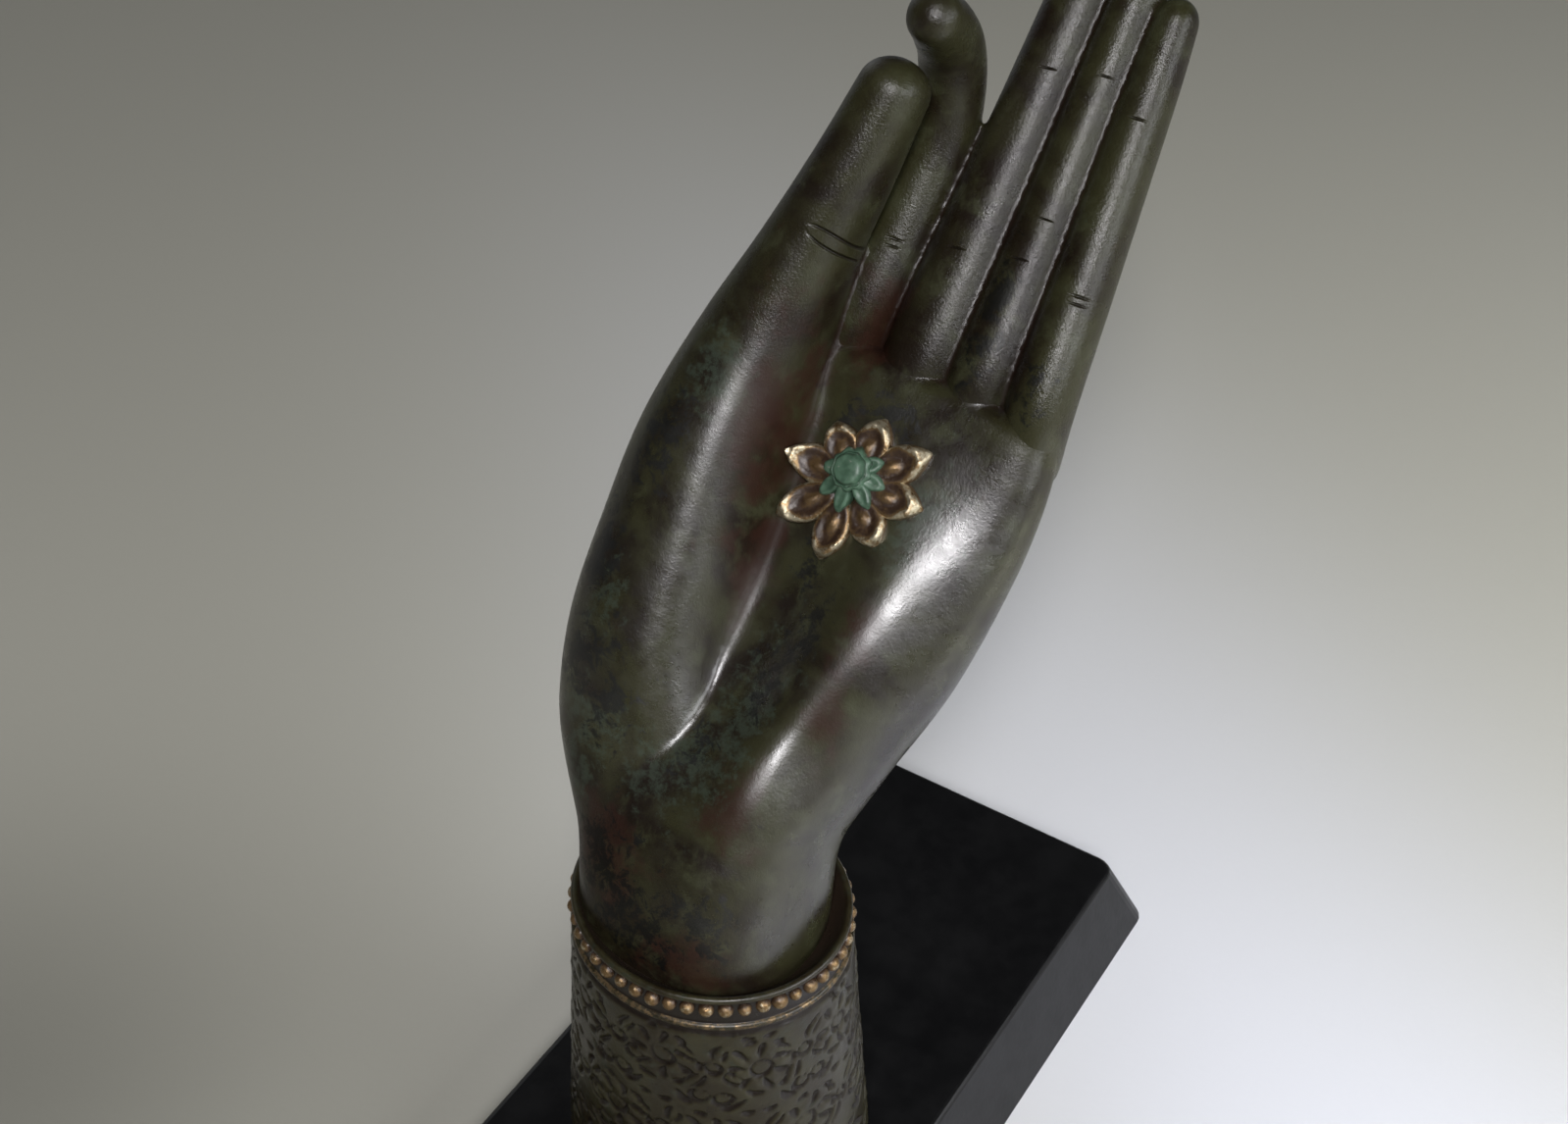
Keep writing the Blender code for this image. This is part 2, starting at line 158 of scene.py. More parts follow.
# %% A limb of the hand
def curve_through(stations, count):
    """Catmull-Rom: each span blends four neighbouring stations with cubic weights."""
    rows = np.asarray(stations, float)
    padded = np.vstack([2 * rows[0] - rows[1], rows, 2 * rows[-1] - rows[-2]])
    s = np.linspace(0, len(rows) - 1, count)
    k = np.minimum(s.astype(int), len(rows) - 2)
    t = (s - k)[:, None]
    a, b, c, d = (padded[k + n] for n in range(4))
    return 0.5 * (2 * b + (c - a) * t + (2 * a - 5 * b + 4 * c - d) * t ** 2
                  + (3 * b - a - 3 * c + d) * t ** 3)


def limb(stations, rings=90, sides=72, squareness=2.3, tip=1.0, rise=None):
    """Superellipse rings (cosine and sine to the power 2/squareness) across a curve, with rounded ends.
    rise(along, across) lifts the front by that height."""
    path = curve_through(stations, rings)
    centre, half = path[:, :3], path[:, 3:]
    axis = np.gradient(centre, axis=0)
    axis /= np.linalg.norm(axis, axis=1, keepdims=True)
    turn = np.radians(np.linspace(86, 6, 12))[:, None]
    start_round, end_round = half[0].mean(), half[-1].mean() * tip
    centre = np.vstack([centre[0] - axis[0] * start_round * np.sin(turn), centre,
                        centre[-1] + axis[-1] * end_round * np.sin(turn[::-1])])
    half = np.vstack([half[0] * np.cos(turn), half, half[-1] * np.cos(turn[::-1])])
    axis = np.vstack([np.repeat(axis[:1], len(turn), 0), axis, np.repeat(axis[-1:], len(turn), 0)])
    along = np.concatenate([np.zeros(len(turn)), np.linspace(0, 1, rings), np.ones(len(turn))])[:, None]
    angle = np.linspace(0, 2 * np.pi, sides, endpoint=False)
    c = np.sign(np.cos(angle)) * np.abs(np.cos(angle)) ** (2 / squareness)
    s = np.sign(np.sin(angle)) * np.abs(np.sin(angle)) ** (2 / squareness)
    across = np.array([1.0, 0, 0]) - axis * axis[:, :1]
    across /= np.linalg.norm(across, axis=1, keepdims=True)
    inward = np.cross(axis, across)
    depth = half[:, 1:] * s
    if rise:
        depth = depth - rise(along, c) * np.clip(-s, 0, 1)
    width = half[:, :1] * c
    return centre[:, None] + across[:, None] * width[..., None] + inward[:, None] * depth[..., None]


def scaled(stations, across, outward, up, width, depth):
    """Stations given as shares of the sizes; outward is the way the palm faces."""
    return [np.array([across, -outward, up, width, depth]) * row for row in stations]


# %% [markdown]
# The palm's form comes from three places: the heel below the little finger, the low pads at the finger
# roots and the hollow in the middle, where the flower lies. They are bumps added to the front of the
# limb, so the silhouette stays as it is.

# %% Palm and thumb
wrist_width, wrist_depth = 59 * MM, 50 * MM
palm_width, palm_length, palm_depth = 86 * MM, 130 * MM, 28 * MM
thenar_width, thumb_width, thumb_length = 42 * MM, 18.6 * MM, 194 * MM


def palm_rise(along, across):
    """Heel, pads and hollow, as shares of the palm's depth."""
    heel = 0.28 * bell(across, 0.55, 0.33) * bell(along, 0.48, 0.20)
    pads = 0.08 * bell(across, 0.95, 0.28) * bell(along, 1.0, 0.12)
    hollow = -0.06 * bell(across, -0.10, 0.30) * bell(along, 0.70, 0.18)
    return (heel + pads + hollow) * palm_depth


palm = limb(scaled([(-0.01, -0.71, -0.24, 0.46, 0.48), (-0.03, 0.00, 0.00, 0.50, 0.50),
                    (-0.09, 0.17, 0.19, 0.53, 0.43)],
                   wrist_width, palm_depth, palm_length, wrist_width, wrist_depth)
            + scaled([(-0.055, 0.02, 0.38, 0.42, 0.58), (-0.02, -0.04, 0.58, 0.475, 0.52),
                      (0.00, -0.06, 0.77, 0.50, 0.49), (0.02, -0.02, 0.92, 0.495, 0.40),
                      (0.03, 0.02, 1.00, 0.475, 0.305)],
                     palm_width, palm_depth, palm_length, palm_width, palm_depth),
            rings=150, sides=140, squareness=2.6, tip=0.18, rise=palm_rise)

thumb = limb(scaled([(-0.34, -0.10, -0.040, 0.24, 0.28), (-0.50, 0.20, 0.055, 0.36, 0.46),
                     (-0.60, 0.36, 0.160, 0.48, 0.60), (-0.72, 0.42, 0.280, 0.47, 0.71),
                     (-0.73, 0.40, 0.410, 0.46, 0.74), (-0.715, 0.43, 0.530, 0.425, 0.70)],
                    thenar_width, palm_depth, thumb_length, thenar_width, palm_depth)
             + scaled([(-1.41, 0.50, 0.660, 0.79, 0.57), (-1.12, 0.64, 0.775, 0.58, 0.46),
                       (-0.78, 0.80, 0.880, 0.48, 0.385), (-0.52, 0.93, 0.970, 0.42, 0.31)],
                      thumb_width, palm_depth, thumb_length, thumb_width, palm_depth),
             rings=190, sides=100, squareness=2.2, tip=0.8)

# %% [markdown]
# The middle, ring and little finger stand side by side like reeds. The forefinger starts beside them,
# then bends forward until its end rests on the thumb.

# %% Fingers
finger_depth = 17 * MM
index_width, middle_width, ring_width, little_width = 17.2 * MM, 18.4 * MM, 15.2 * MM, 14.8 * MM
middle_length, ring_length, little_length = 118.8 * MM, 111 * MM, 95 * MM
index_straight, index_reach = 52 * MM, 30 * MM


def straight_finger(root, tip, width, length, start=-0.05, start_wide=0.42, drawn_in=0.08, sunk=0.25):
    """A limb from inside the palm to a rounded tip; root and tip are its places across. It starts at this
    share of its length, this wide, drawn in towards the palm's middle and sunk by these shares."""
    shares = [(0.02, start), (0.16, 0.06), (0.40, 0.30), (0.64, 0.55), (0.86, 0.80), (0.96, 0.945)]
    widths = (start_wide, 0.50, 0.465, 0.42, 0.375, 0.325)
    stations = [(root + (tip - root) * across - drawn_in * root * (up < 0),
                 finger_depth * (sunk * ease(-up, 0, 0.05) - 0.05),
                 palm_length + length * up, width * wide, finger_depth * wide)
                for (across, up), wide in zip(shares, widths)]
    return limb(stations, rings=120, sides=72, squareness=2.2, tip=1.1)


middle_root = 0.27 * middle_width
ring_root = middle_root + 0.48 * (middle_width + ring_width)
little_root = ring_root + 0.51 * (ring_width + little_width)
index_root = middle_root - 0.5 * (middle_width + index_width)
middle = straight_finger(middle_root, middle_root + 0.55 * middle_width, middle_width, middle_length)
ring = straight_finger(ring_root, ring_root + 0.36 * ring_width, ring_width, ring_length)
little = straight_finger(little_root, little_root - 0.03 * little_width, little_width, little_length,
                         start=-0.085, start_wide=0.47, drawn_in=0.0, sunk=0.24)

# each: shares of the place across, of the reach forward, of the height, of the width and of the depth
index_shares = [(0.00, -0.08, -0.10, 0.45, 0.44), (0.08, 0.03, 0.15, 0.50, 0.50),
                (0.25, 0.06, 0.62, 0.48, 0.49), (0.40, 0.12, 0.98, 0.455, 0.47),
                (0.45, 0.27, 1.20, 0.435, 0.45), (0.48, 0.53, 1.35, 0.42, 0.43),
                (0.50, 0.80, 1.41, 0.395, 0.40), (0.51, 1.00, 1.425, 0.36, 0.36)]
index = limb([(index_root + across * index_width, -reach * index_reach, palm_length + up * index_straight,
               wide * index_width, deep * finger_depth) for across, reach, up, wide, deep in index_shares],
             rings=150, sides=64, squareness=2.2)

# %% [markdown]
# The limbs overlap. A voxel remesh melts them into one skin, as wax limbs are pressed together before a
# casting, and a few rounds of smoothing leave a small fillet in every valley. A Boolean union would
# keep hard seams instead. The fingers' valleys are narrow, so the fingers get a finer skin of their own,
# which comes out of the palm's skin at the line under their roots; slightly thinner roots stay in the
# palm's skin, so that it swells towards them. The limbs are turned askew before the remesh and back after
# it: voxels in line with the fingers would leave long steps in the valleys.

# %% Two skins
palm_voxel, finger_voxel = 0.88 * MM, 0.60 * MM
palm_smoothing, finger_smoothing = 10, 22
askew = np.array(Euler((0.5, 0.35, 0.6)).to_matrix())


def melted(name, stacks, voxel, rounds):
    """One smooth skin round overlapping ring stacks: a voxel remesh, then rounds of smoothing."""
    limbs = stack_piece(name + "_limbs", [stack @ askew.T for stack in stacks])
    melt = limbs.modifiers.new("Melt", "REMESH")
    melt.mode = "VOXEL"
    melt.voxel_size = voxel
    soften = limbs.modifiers.new("Soften", "SMOOTH")
    soften.factor = 0.5
    soften.iterations = rounds
    mesh = bpy.data.meshes.new_from_object(limbs.evaluated_get(bpy.context.evaluated_depsgraph_get()))
    bpy.data.objects.remove(limbs, do_unlink=True)
    mesh.name = name
    mesh.shade_smooth()
    skin = bpy.data.objects.new(name, mesh)
    bpy.context.scene.collection.objects.link(skin)
    write_points(skin, read_points(skin) @ askew)
    print(name, triangles(skin), "triangles")
    return skin


def finger_root(stack, rings=50, share=0.955):
    """The first rings of a finger, each drawn in towards its own middle by this share."""
    middle_points = stack[:rings].mean(1, keepdims=True)
    return middle_points + (stack[:rings] - middle_points) * share


hand_skin = melted("hand_skin", [palm, thumb, finger_root(middle), finger_root(ring), finger_root(little),
                                 finger_root(index)], palm_voxel, palm_smoothing)
finger_skin = melted("finger_skin", [middle, ring, little, index], finger_voxel, finger_smoothing)


# %% [markdown]
# What follows works on the finished skin, vertex by vertex: its normals, the mean over a vertex's
# neighbours, and how hollow the skin is. NumPy's bincount adds up all the edges of a skin in one step,
# where a loop over its hundred thousand vertices would take minutes.

# %% Reading the skin
def read_normals(piece):
    """The vertex normals of a piece as an array (n, 3)."""
    normals = np.empty(len(piece.data.vertices) * 3)
    piece.data.vertices.foreach_get("normal", normals)
    return normals.reshape(-1, 3)


def neighbour_mean(piece, values):
    """For every vertex, the mean of values over the vertices that share an edge with it."""
    ends = np.empty(len(piece.data.edges) * 2, int)
    piece.data.edges.foreach_get("vertices", ends)
    a, b = ends.reshape(-1, 2).T
    count = np.bincount(a, minlength=len(values)) + np.bincount(b, minlength=len(values))
    columns = values.reshape(len(values), -1)
    total = [np.bincount(a, column[b], len(values)) + np.bincount(b, column[a], len(values))
             for column in columns.T]
    return (np.stack(total, -1) / np.maximum(count, 1)[:, None]).reshape(values.shape)


def hollowness(piece, rounds):
    """How hollow the skin is at each vertex, in metres: how far the smoothed skin stands outside it."""
    points, normals = read_points(piece), read_normals(piece)
    smoothed = points
    for _ in range(rounds):
        smoothed = neighbour_mean(piece, smoothed)
    return ((smoothed - points) * normals).sum(1)


# %% [markdown]
# Three places are softer than the remesh leaves them: the mound's lower end, which runs into the wrist
# without a seam, the upper part of the crease round the mound, and, a little, the palm's corner under
# the little finger. The skin there is averaged with its neighbours many times. A sculptor's smoothing
# brush would do it too, but a mask made of distances gives the same skin every time.

# %% Soft places
def path_distance(across, up, path):
    """Distance from every point to a broken line in the palm's plane: the least over its straight spans."""
    best = np.full(len(across), np.inf)
    for (x0, y0), (x1, y1) in zip(path, path[1:]):
        dx, dy = x1 - x0, y1 - y0
        t = np.clip(((across - x0) * dx + (up - y0) * dy) / (dx * dx + dy * dy), 0, 1)
        best = np.minimum(best, np.hypot(across - x0 - t * dx, up - y0 - t * dy))
    return best


def smooth_path(points, count=24):
    """A broken line with many short spans through a few places given in millimetres."""
    return curve_through(np.array(points) * MM, count).tolist()


points = read_points(hand_skin)
across, inward, up = points.T
crease_away = path_distance(across, up, smooth_path([(-12, 55), (-12.5, 75), (-13.5, 95), (-14, 125)]))
soft_mound_end = 1 - ease(up, 16 * MM, 34 * MM)
along_crease = ease(up, 50 * MM, 75 * MM) * (1 - ease(up, 116 * MM, 126 * MM))
soft_crease = bell(crease_away, 0, 6 * MM) * along_crease
soft_corner = 0.12 * ease(across, 26 * MM, 36 * MM) * ease(up, 112 * MM, 122 * MM)
soft = np.maximum(np.maximum(soft_mound_end, soft_crease), soft_corner)
soft_rounds, soft_share = 90, 0.6
for _ in range(soft_rounds):
    points += (neighbour_mean(hand_skin, points) - points) * (soft_share * soft)[:, None]
write_points(hand_skin, points)
print("softened", round(float(soft.mean() * 100)), "percent of the palm's skin")

# %% [markdown]
# The patina follows the form and the hand's places: brown lies in the valleys, and black speckles, reddish
# brown and green bloom lie in patches of the palm. The skin stores each as one number a vertex, which the
# material reads. A painted image would do it too, but it would need an unwrapped skin.

# %% What the patina needs to know of the form
full_hollow = 0.8 * MM
for skin, rounds in ((hand_skin, 12), (finger_skin, 20)):
    depth = hollowness(skin, rounds)
    paint(skin, "hollow", np.clip(depth / full_hollow, -1, 1))
    print(skin.name, "hollow, in mm", np.percentile(depth / MM, [1, 50, 99]).round(2))


def zone(points, spots):
    """A soft mask on the palm's side: the largest of some bells in the palm's plane."""
    across, inward, up = points.T
    mask = np.zeros(len(points))
    for x, y, wide, high in spots:
        mask = np.maximum(mask, bell(across, x * MM, wide * MM) * bell(up, y * MM, high * MM))
    return mask


# each spot: place (across, up) in mm, spread across and up in mm
speckle_spots = [(4, 60, 6, 14), (9, 72, 6, 10), (-6, 38, 5, 8), (2, 84, 4, 8), (8, 122, 14, 5),
                 (-2, 116, 8, 5), (-18, 4, 18, 14), (10, 2, 12, 10), (-34, 100, 10, 16), (-40, 72, 8, 14),
                 (-37, 48, 12, 14), (-5, -6, 18, 10), (22, 150, 5, 20), (36, 138, 6, 8), (-26, 40, 10, 10)]
rust_spots = [(-14, 112, 8, 26), (-10, 84, 5, 24), (-4, 140, 6, 14), (-8, 100, 12, 12), (-20, 8, 16, 12),
              (6, -8, 14, 8), (20, 60, 6, 22), (10, 28, 8, 14)]
green_spots = [(-4, 34, 12, 14), (2, 50, 10, 24), (-30, 34, 12, 10), (-36, 22, 14, 12), (-34, 62, 6, 12),
               (-14, 30, 8, 12), (-28, 120, 8, 14), (24, 100, 12, 18)]
matt_spots = [(35, 121, 10, 18), (-10, -6, 20, 24), (-30, 24, 13, 14)]
matt_crease = smooth_path([(-10, 78), (-10.5, 95), (-9, 115), (-4, 138)])
for skin in (hand_skin, finger_skin):
    points = read_points(skin)
    across, inward, up = points.T
    paint(skin, "speckle_zone", zone(points, speckle_spots))
    paint(skin, "rust_zone", zone(points, rust_spots))
    paint(skin, "green_zone", zone(points, green_spots))
    paint(skin, "grain_zone", ease(up, 116 * MM, 140 * MM))
    crease_zone = ease(up, 70 * MM, 88 * MM) * bell(path_distance(across, up, matt_crease), 0, 7.5 * MM)
    paint(skin, "matt_zone", np.maximum(crease_zone, 0.75 * zone(points, matt_spots)))

# %% [markdown]
# The flower lies in the palm's hollow, so its pieces need the height of the skin under them. A coarse
# height map does it: the skin's points are dropped into square cells, each cell keeps its highest
# point, and heights in between are blended from the four nearest cells.

# %% Height of the palm
map_cell = 1.5 * MM
map_low = np.array([-30 * MM, 70 * MM])
map_size = 60

points = read_points(hand_skin)
cell = ((np.stack([points[:, 0], points[:, 2]], -1) - map_low) / map_cell).astype(int)
inside = ((cell >= 0) & (cell < map_size)).all(1)
palm_map = np.full((map_size, map_size), 0.0)
np.maximum.at(palm_map, tuple(cell[inside].T), -points[inside, 1])


def palm_height(across, up):
    """Height of the skin over the hand's plane, blended from the four nearest cells."""
    spot = (np.stack([across, up], -1) - map_low) / map_cell - 0.5
    base = np.clip(spot.astype(int), 0, map_size - 2)
    share = np.clip(spot - base, 0, 1)
    i, j = base[..., 0], base[..., 1]
    s, t = share[..., 0], share[..., 1]
    return ((1 - s) * (1 - t) * palm_map[i, j] + s * (1 - t) * palm_map[i + 1, j]
            + (1 - s) * t * palm_map[i, j + 1] + s * t * palm_map[i + 1, j + 1])


flower_across, flower_up = 5.2 * MM, 105 * MM
height_there = float(palm_height(np.array(flower_across), np.array(flower_up)))
print("palm height at the flower", round(height_there / MM, 1), "mm")

for skin in (hand_skin, finger_skin):
    write_points(skin, place_hand(read_points(skin)))

# %% [markdown]
# Each petal is a plump leaf with a raised rim, a hollow, and a small seed in the hollow. Its outline is
# one function of the place along it, its height another of the place along and across, and the ring
# that goes round it runs over the top and back under it, so the petal is closed.

# %% Petals
petal_rings, petal_sides = 40, 44


def leaf_stack(angle, reach, start, half_width, height, seed, rings=petal_rings, sides=petal_sides,
               pointed=0.7, lift=0.6):
    """Rings across a leaf: half width is along * (1 - along)^pointed, height is a rounded edge times a rim
    with a hollow, plus a seed; the underside is sunk in the palm."""
    along = np.linspace(0.012, 0.988, rings)[:, None]
    turn = np.linspace(0, 2 * np.pi, sides, endpoint=False)
    x = np.sign(np.cos(turn)) * np.abs(np.cos(turn)) ** 0.8
    over = np.clip(np.sin(turn), 0, 1)
    under = np.clip(-np.sin(turn), 0, 1)
    outline = along ** 1.1 * (1 - along) ** pointed
    outline = outline / outline.max()
    edge = over ** 0.5
    hollow = bell(x, 0, 0.55) * bell(along, 0.52, 0.26)
    core = bell(x, 0, 0.25) * bell(along, 0.46, 0.15)
    body = np.minimum(1.0, 1.8 * outline) * (0.75 + 0.25 * ease(along, 0.3, 0.75))
    top = height * edge * body * (1 - 0.72 * hollow + seed * core) + lift * MM * (1 - along) * edge
    rise = top - 1.6 * MM * under * body
    away = start + (reach - start) * along
    side = half_width * outline * x
    u = away * math.cos(angle) - side * math.sin(angle)
    v = away * math.sin(angle) + side * math.cos(angle)
    return u, v, rise


def on_palm(u, v, rise, centre, float_up=0.0):
    """Leaf points in the hand's frame: the palm's height under each, plus the leaf's own height."""
    across, up = centre[0] + u, centre[1] + v
    middle_height = palm_height(np.array(centre[0]), np.array(centre[1]))
    height = 0.65 * palm_height(across, up) + 0.35 * middle_height + rise + float_up
    return place_hand(np.stack([across, -height, up], -1))


petal_reach = [15.6, 18.8, 17.0, 15.2, 18.4, 19.6, 17.2, 14.6]
petal_angles = [84, 40, 0, -46, -96, -140, 174, 130]
petal_start, petal_half_width, petal_height = 2.2 * MM, 4.5 * MM, 3.4 * MM
petal_stacks = [on_palm(*leaf_stack(math.radians(angle), 1.03 * reach * MM, petal_start, petal_half_width,
                                    petal_height, seed=0.8, pointed=0.95), (flower_across, flower_up))
                for angle, reach in zip(petal_angles, petal_reach)]
petals = stack_piece("flower_petals", petal_stacks)

# the gold is rubbed bright on the rims and tips, and on the seed
along = np.linspace(0.012, 0.988, petal_rings)[:, None]
turn = np.linspace(0, 2 * np.pi, petal_sides, endpoint=False)[None]
rim_and_tip = ease(np.abs(np.cos(turn)) + 1.2 * ease(along, 0.6, 0.95), 0.55, 0.95)
on_top = ease(np.sin(turn), -0.1, 0.35)
seed_top = 0.55 * bell(np.cos(turn), 0, 0.25) * bell(along, 0.46, 0.16) * (np.sin(turn) > 0)
rubbed = np.maximum(rim_and_tip * on_top, seed_top)
paint(petals, "rubbed", np.tile(np.append(rubbed.ravel(), [0, 0]), len(petal_stacks)))
print("petals", triangles(petals), "triangles")

# %% [markdown]
# The middle of the flower is turquoise: pointed leaves that droop over the petals, made by the petals'
# function without its seed, and a low cup turned about its axis, whose outline is a function of the radius.

# %% Inner leaves and boss
boss_across, boss_up = 4.7 * MM, 108 * MM
leaf_angles = [-129, -168, -92, -46, -10, 32, 90, 145]
leaf_reach = [10.4, 8.2, 10.8, 10.0, 9.0, 7.6, 5.6, 5.6]
leaf_stacks = [on_palm(*leaf_stack(math.radians(angle), reach * MM, 1.0 * MM, 2.0 * MM, 1.5 * MM, 0.0,
                                   rings=26, sides=28, lift=3.6, pointed=1.0),
                       (boss_across, boss_up), 1.7 * MM)
               for angle, reach in zip(leaf_angles, leaf_reach)]
inner_leaves = stack_piece("flower_inner_leaves", leaf_stacks)


def boss_stack(radius, height, scallops):
    """A dome turned about its axis: height over radius, with a groove round the crown and a wavy collar."""
    out = np.concatenate([np.linspace(0.03, 1.0, 46), [0.97, 0.9, 0.75, 0.5, 0.25, 0.05]])[:, None]
    turn = np.linspace(0, 2 * np.pi, 72, endpoint=False)[None]
    crown = np.clip(1 - (out / 0.74) ** 4, 0, 1) ** 0.5 * 0.30 + 0.70
    collar = 0.62 * np.sqrt(np.clip(1 - out ** 6, 0, 1))
    groove = 0.34 * bell(out, 0.75, 0.06)
    shape = np.maximum(np.where(out < 0.74, crown, 0), collar) - groove
    shape[46:] = [[0.0], [-0.5], [-0.5], [-0.5], [-0.5], [-0.5]]
    wave = 1 + 0.07 * np.cos(scallops * turn) * out ** 4
    r = radius * out * wave
    rise = height * shape + 0 * turn
    return r * np.cos(turn), r * np.sin(turn), rise


boss_radius, boss_height, boss_float, boss_scallops = 4.9 * MM, 3.6 * MM, 3.8 * MM, 9
boss = stack_piece("flower_boss", [on_palm(*boss_stack(boss_radius, boss_height, boss_scallops),
                                           (boss_across, boss_up), boss_float)])
print("inner leaves and boss", triangles(inner_leaves) + triangles(boss), "triangles")

# %% [markdown]
# The sleeve is an oval cone. Its brocade is low relief: rosettes in staggered rows with crossed leaves
# between them. The relief is one height function of the place along the girth and up the sleeve. Folding
# the place into the nearest rosette's own frame lets one rosette serve for all of them, and a slow
# warp before the folding keeps them from looking stamped.

# %% Sleeve relief
sleeve_height = 88 * MM
rim_half = np.array([33.25, 30.0]) * MM
foot_half = np.array([39.5, 36.0]) * MM
band_height, roll_radius = 9.5 * MM, 0.9 * MM
field_height = sleeve_height - band_height
rosettes_around, rosette_rows = 9, 3
row_pitch = field_height / rosette_rows
relief_height = 1.3 * MM
pattern_scale = 4 / 3           # the strokes below are drawn for rosettes of three quarters of this size
mean_radius = 35.0 * MM
cloth_level = 0.62              # the plain cloth's share of the relief


def sleeve_half(z):
    """Half width and half depth at a height: from foot to rim by the height's share to the power 0.9."""
    rise = (np.clip(z / sleeve_height, 0, 1) ** 0.9)[..., None]
    return foot_half + (rim_half - foot_half) * rise


def boss_of_relief(x, y, half_x, half_y, rib=0.0):
    """A rounded oval standing in a narrow moat that opens on its lower side: height from the squared
    distance q in half sizes, and the moat where a bigger, lowered oval still covers the place."""
    q = 1 - (x / half_x) ** 2 - (y / half_y) ** 2
    near = 1 - ((x - 0.2) / (half_x + 0.7)) ** 2 - ((y + 0.35) / (half_y + 0.7)) ** 2
    high = np.clip(q, 0, 1) ** 0.5 - rib * bell(q, 1.0, 0.5)
    return np.where(q > 0, high, 0), ease(near, 0, 0.4)


def comma(x, y, half_long, half_wide, bend=0.0):
    """A carved comma: a bent oval, wide at one end and thin at the other, 1 deep in its middle."""
    wide = half_wide * (1 - 0.5 * np.clip(x / half_long, -1, 1))
    q = 1 - (x / half_long) ** 2 - ((y - bend * x ** 2) / wide) ** 2
    return 0 * q, ease(q, 0, 0.8)


def turned(x, y, aim, reach):
    """The place in a frame that is turned by aim and starts at reach from the middle."""
    return x * np.cos(aim) + y * np.sin(aim) - reach, -x * np.sin(aim) + y * np.cos(aim)


def rosette(x, y):
    """One rosette: a ringed boss, a comma between every two petals, and a crescent outside each petal."""
    parts = [boss_of_relief(x, y, 1.9, 1.7, 0.5)]
    for k in range(7):
        out, side = turned(x, y, 0.4 + k * 2 * np.pi / 7, 4.6)
        parts.append(comma(-out, side, 2.0, 0.75, 0.10))
        out, side = turned(x, y, 0.4 + (k + 0.5) * 2 * np.pi / 7, 6.9)
        parts.append(comma(side, out, 1.7 + 0.4 * math.sin(5 * k), 0.65, -0.16))
        parts.append((0.55 * bell(out, -2.6, 1.1) * bell(side, 0, 1.1), 0 * out))
    return parts


def crossed_leaves(x, y):
    """The filling between rosettes: four bent leaves cut by their ribs and edges, and a small boss."""
    parts = [boss_of_relief(x, y, 1.3, 1.1, 0.4)]
    for k in range(4):
        out, side = turned(x, y, np.pi / 4 + k * np.pi / 2 + 0.25, 4.8)
        parts.append(comma(out, side - 0.9, 2.6, 0.6, -0.10))
        parts.append(comma(-out, side + 1.2, 1.8, 0.5, 0.14))
        parts.append((0.5 * bell(out, 0, 1.9) * bell(side, -0.2, 0.8), 0 * out))
    return parts


def sprig(x, y):
    """The filling between two rows: a slanted comma, a small ringed boss and a short one."""
    out, side = turned(x, y, 0.64, 0)
    return [comma(out, side, 2.6, 0.8, 0.12), boss_of_relief(x + 2.7, y - 1.9, 1.4, 1.2, 0.6),
            comma(x - 2.7, y + 2.0, 1.4, 0.6, 0.2)]


def brocade(girth, z):
    """Relief from 0 to 1 over the sleeve: the plain cloth, lowered to 0 in the cuts, and the bosses on it.
    girth and z are in metres."""
    pitch = 2 * np.pi * mean_radius / MM / rosettes_around / pattern_scale
    x = girth / MM / pattern_scale
    y = z / MM / pattern_scale
    x = x + 0.55 * np.sin(0.31 * y + 2 * np.pi * x / pitch / 3) + 0.35 * np.sin(0.83 * y + 2.1)
    y = y + 0.9 * np.sin(2 * np.pi * x / (pitch * 4) + 1.3) + 0.5 * np.sin(2 * np.pi * x / (pitch * 1.5))
    rows_mm = row_pitch / MM / pattern_scale
    parts = []
    base = np.floor(y / rows_mm - 0.5)
    for row in (base, base + 1):
        dy = y - (row + 0.5) * rows_mm
        shift = 0.5 * np.mod(row, 2)
        parts += rosette((np.mod(x / pitch - shift + 0.5, 1) - 0.5) * pitch, dy)
        parts += crossed_leaves((np.mod(x / pitch - shift, 1) - 0.5) * pitch, dy)
    dy = y - np.floor(y / rows_mm) * rows_mm
    dy = np.where(dy > rows_mm / 2, dy - rows_mm, dy)
    flip = np.where(np.mod(np.floor(2 * x / pitch), 2) > 0, 1, -1)
    parts += sprig((np.mod(2 * x / pitch, 1) - 0.5) * pitch / 2 * flip, dy)
    high = np.max([part[0] for part in parts], 0)
    moat = np.max([part[1] for part in parts], 0)
    on_bosses = (1 - cloth_level) * high + 0.45 * moat * (high > 0.2)
    return np.maximum(cloth_level * (1 - moat), 0) + np.where(high > 0, on_bosses, 0)


# %% [markdown]
# The sleeve is one stack of rings: in over the foot, up the outside with the relief and the two rolls
# added to the half sizes, and over the lip down to where the wrist stands in it. One closed surface needs
# no joins, where a separate rim and lining would have to meet it edge to edge.

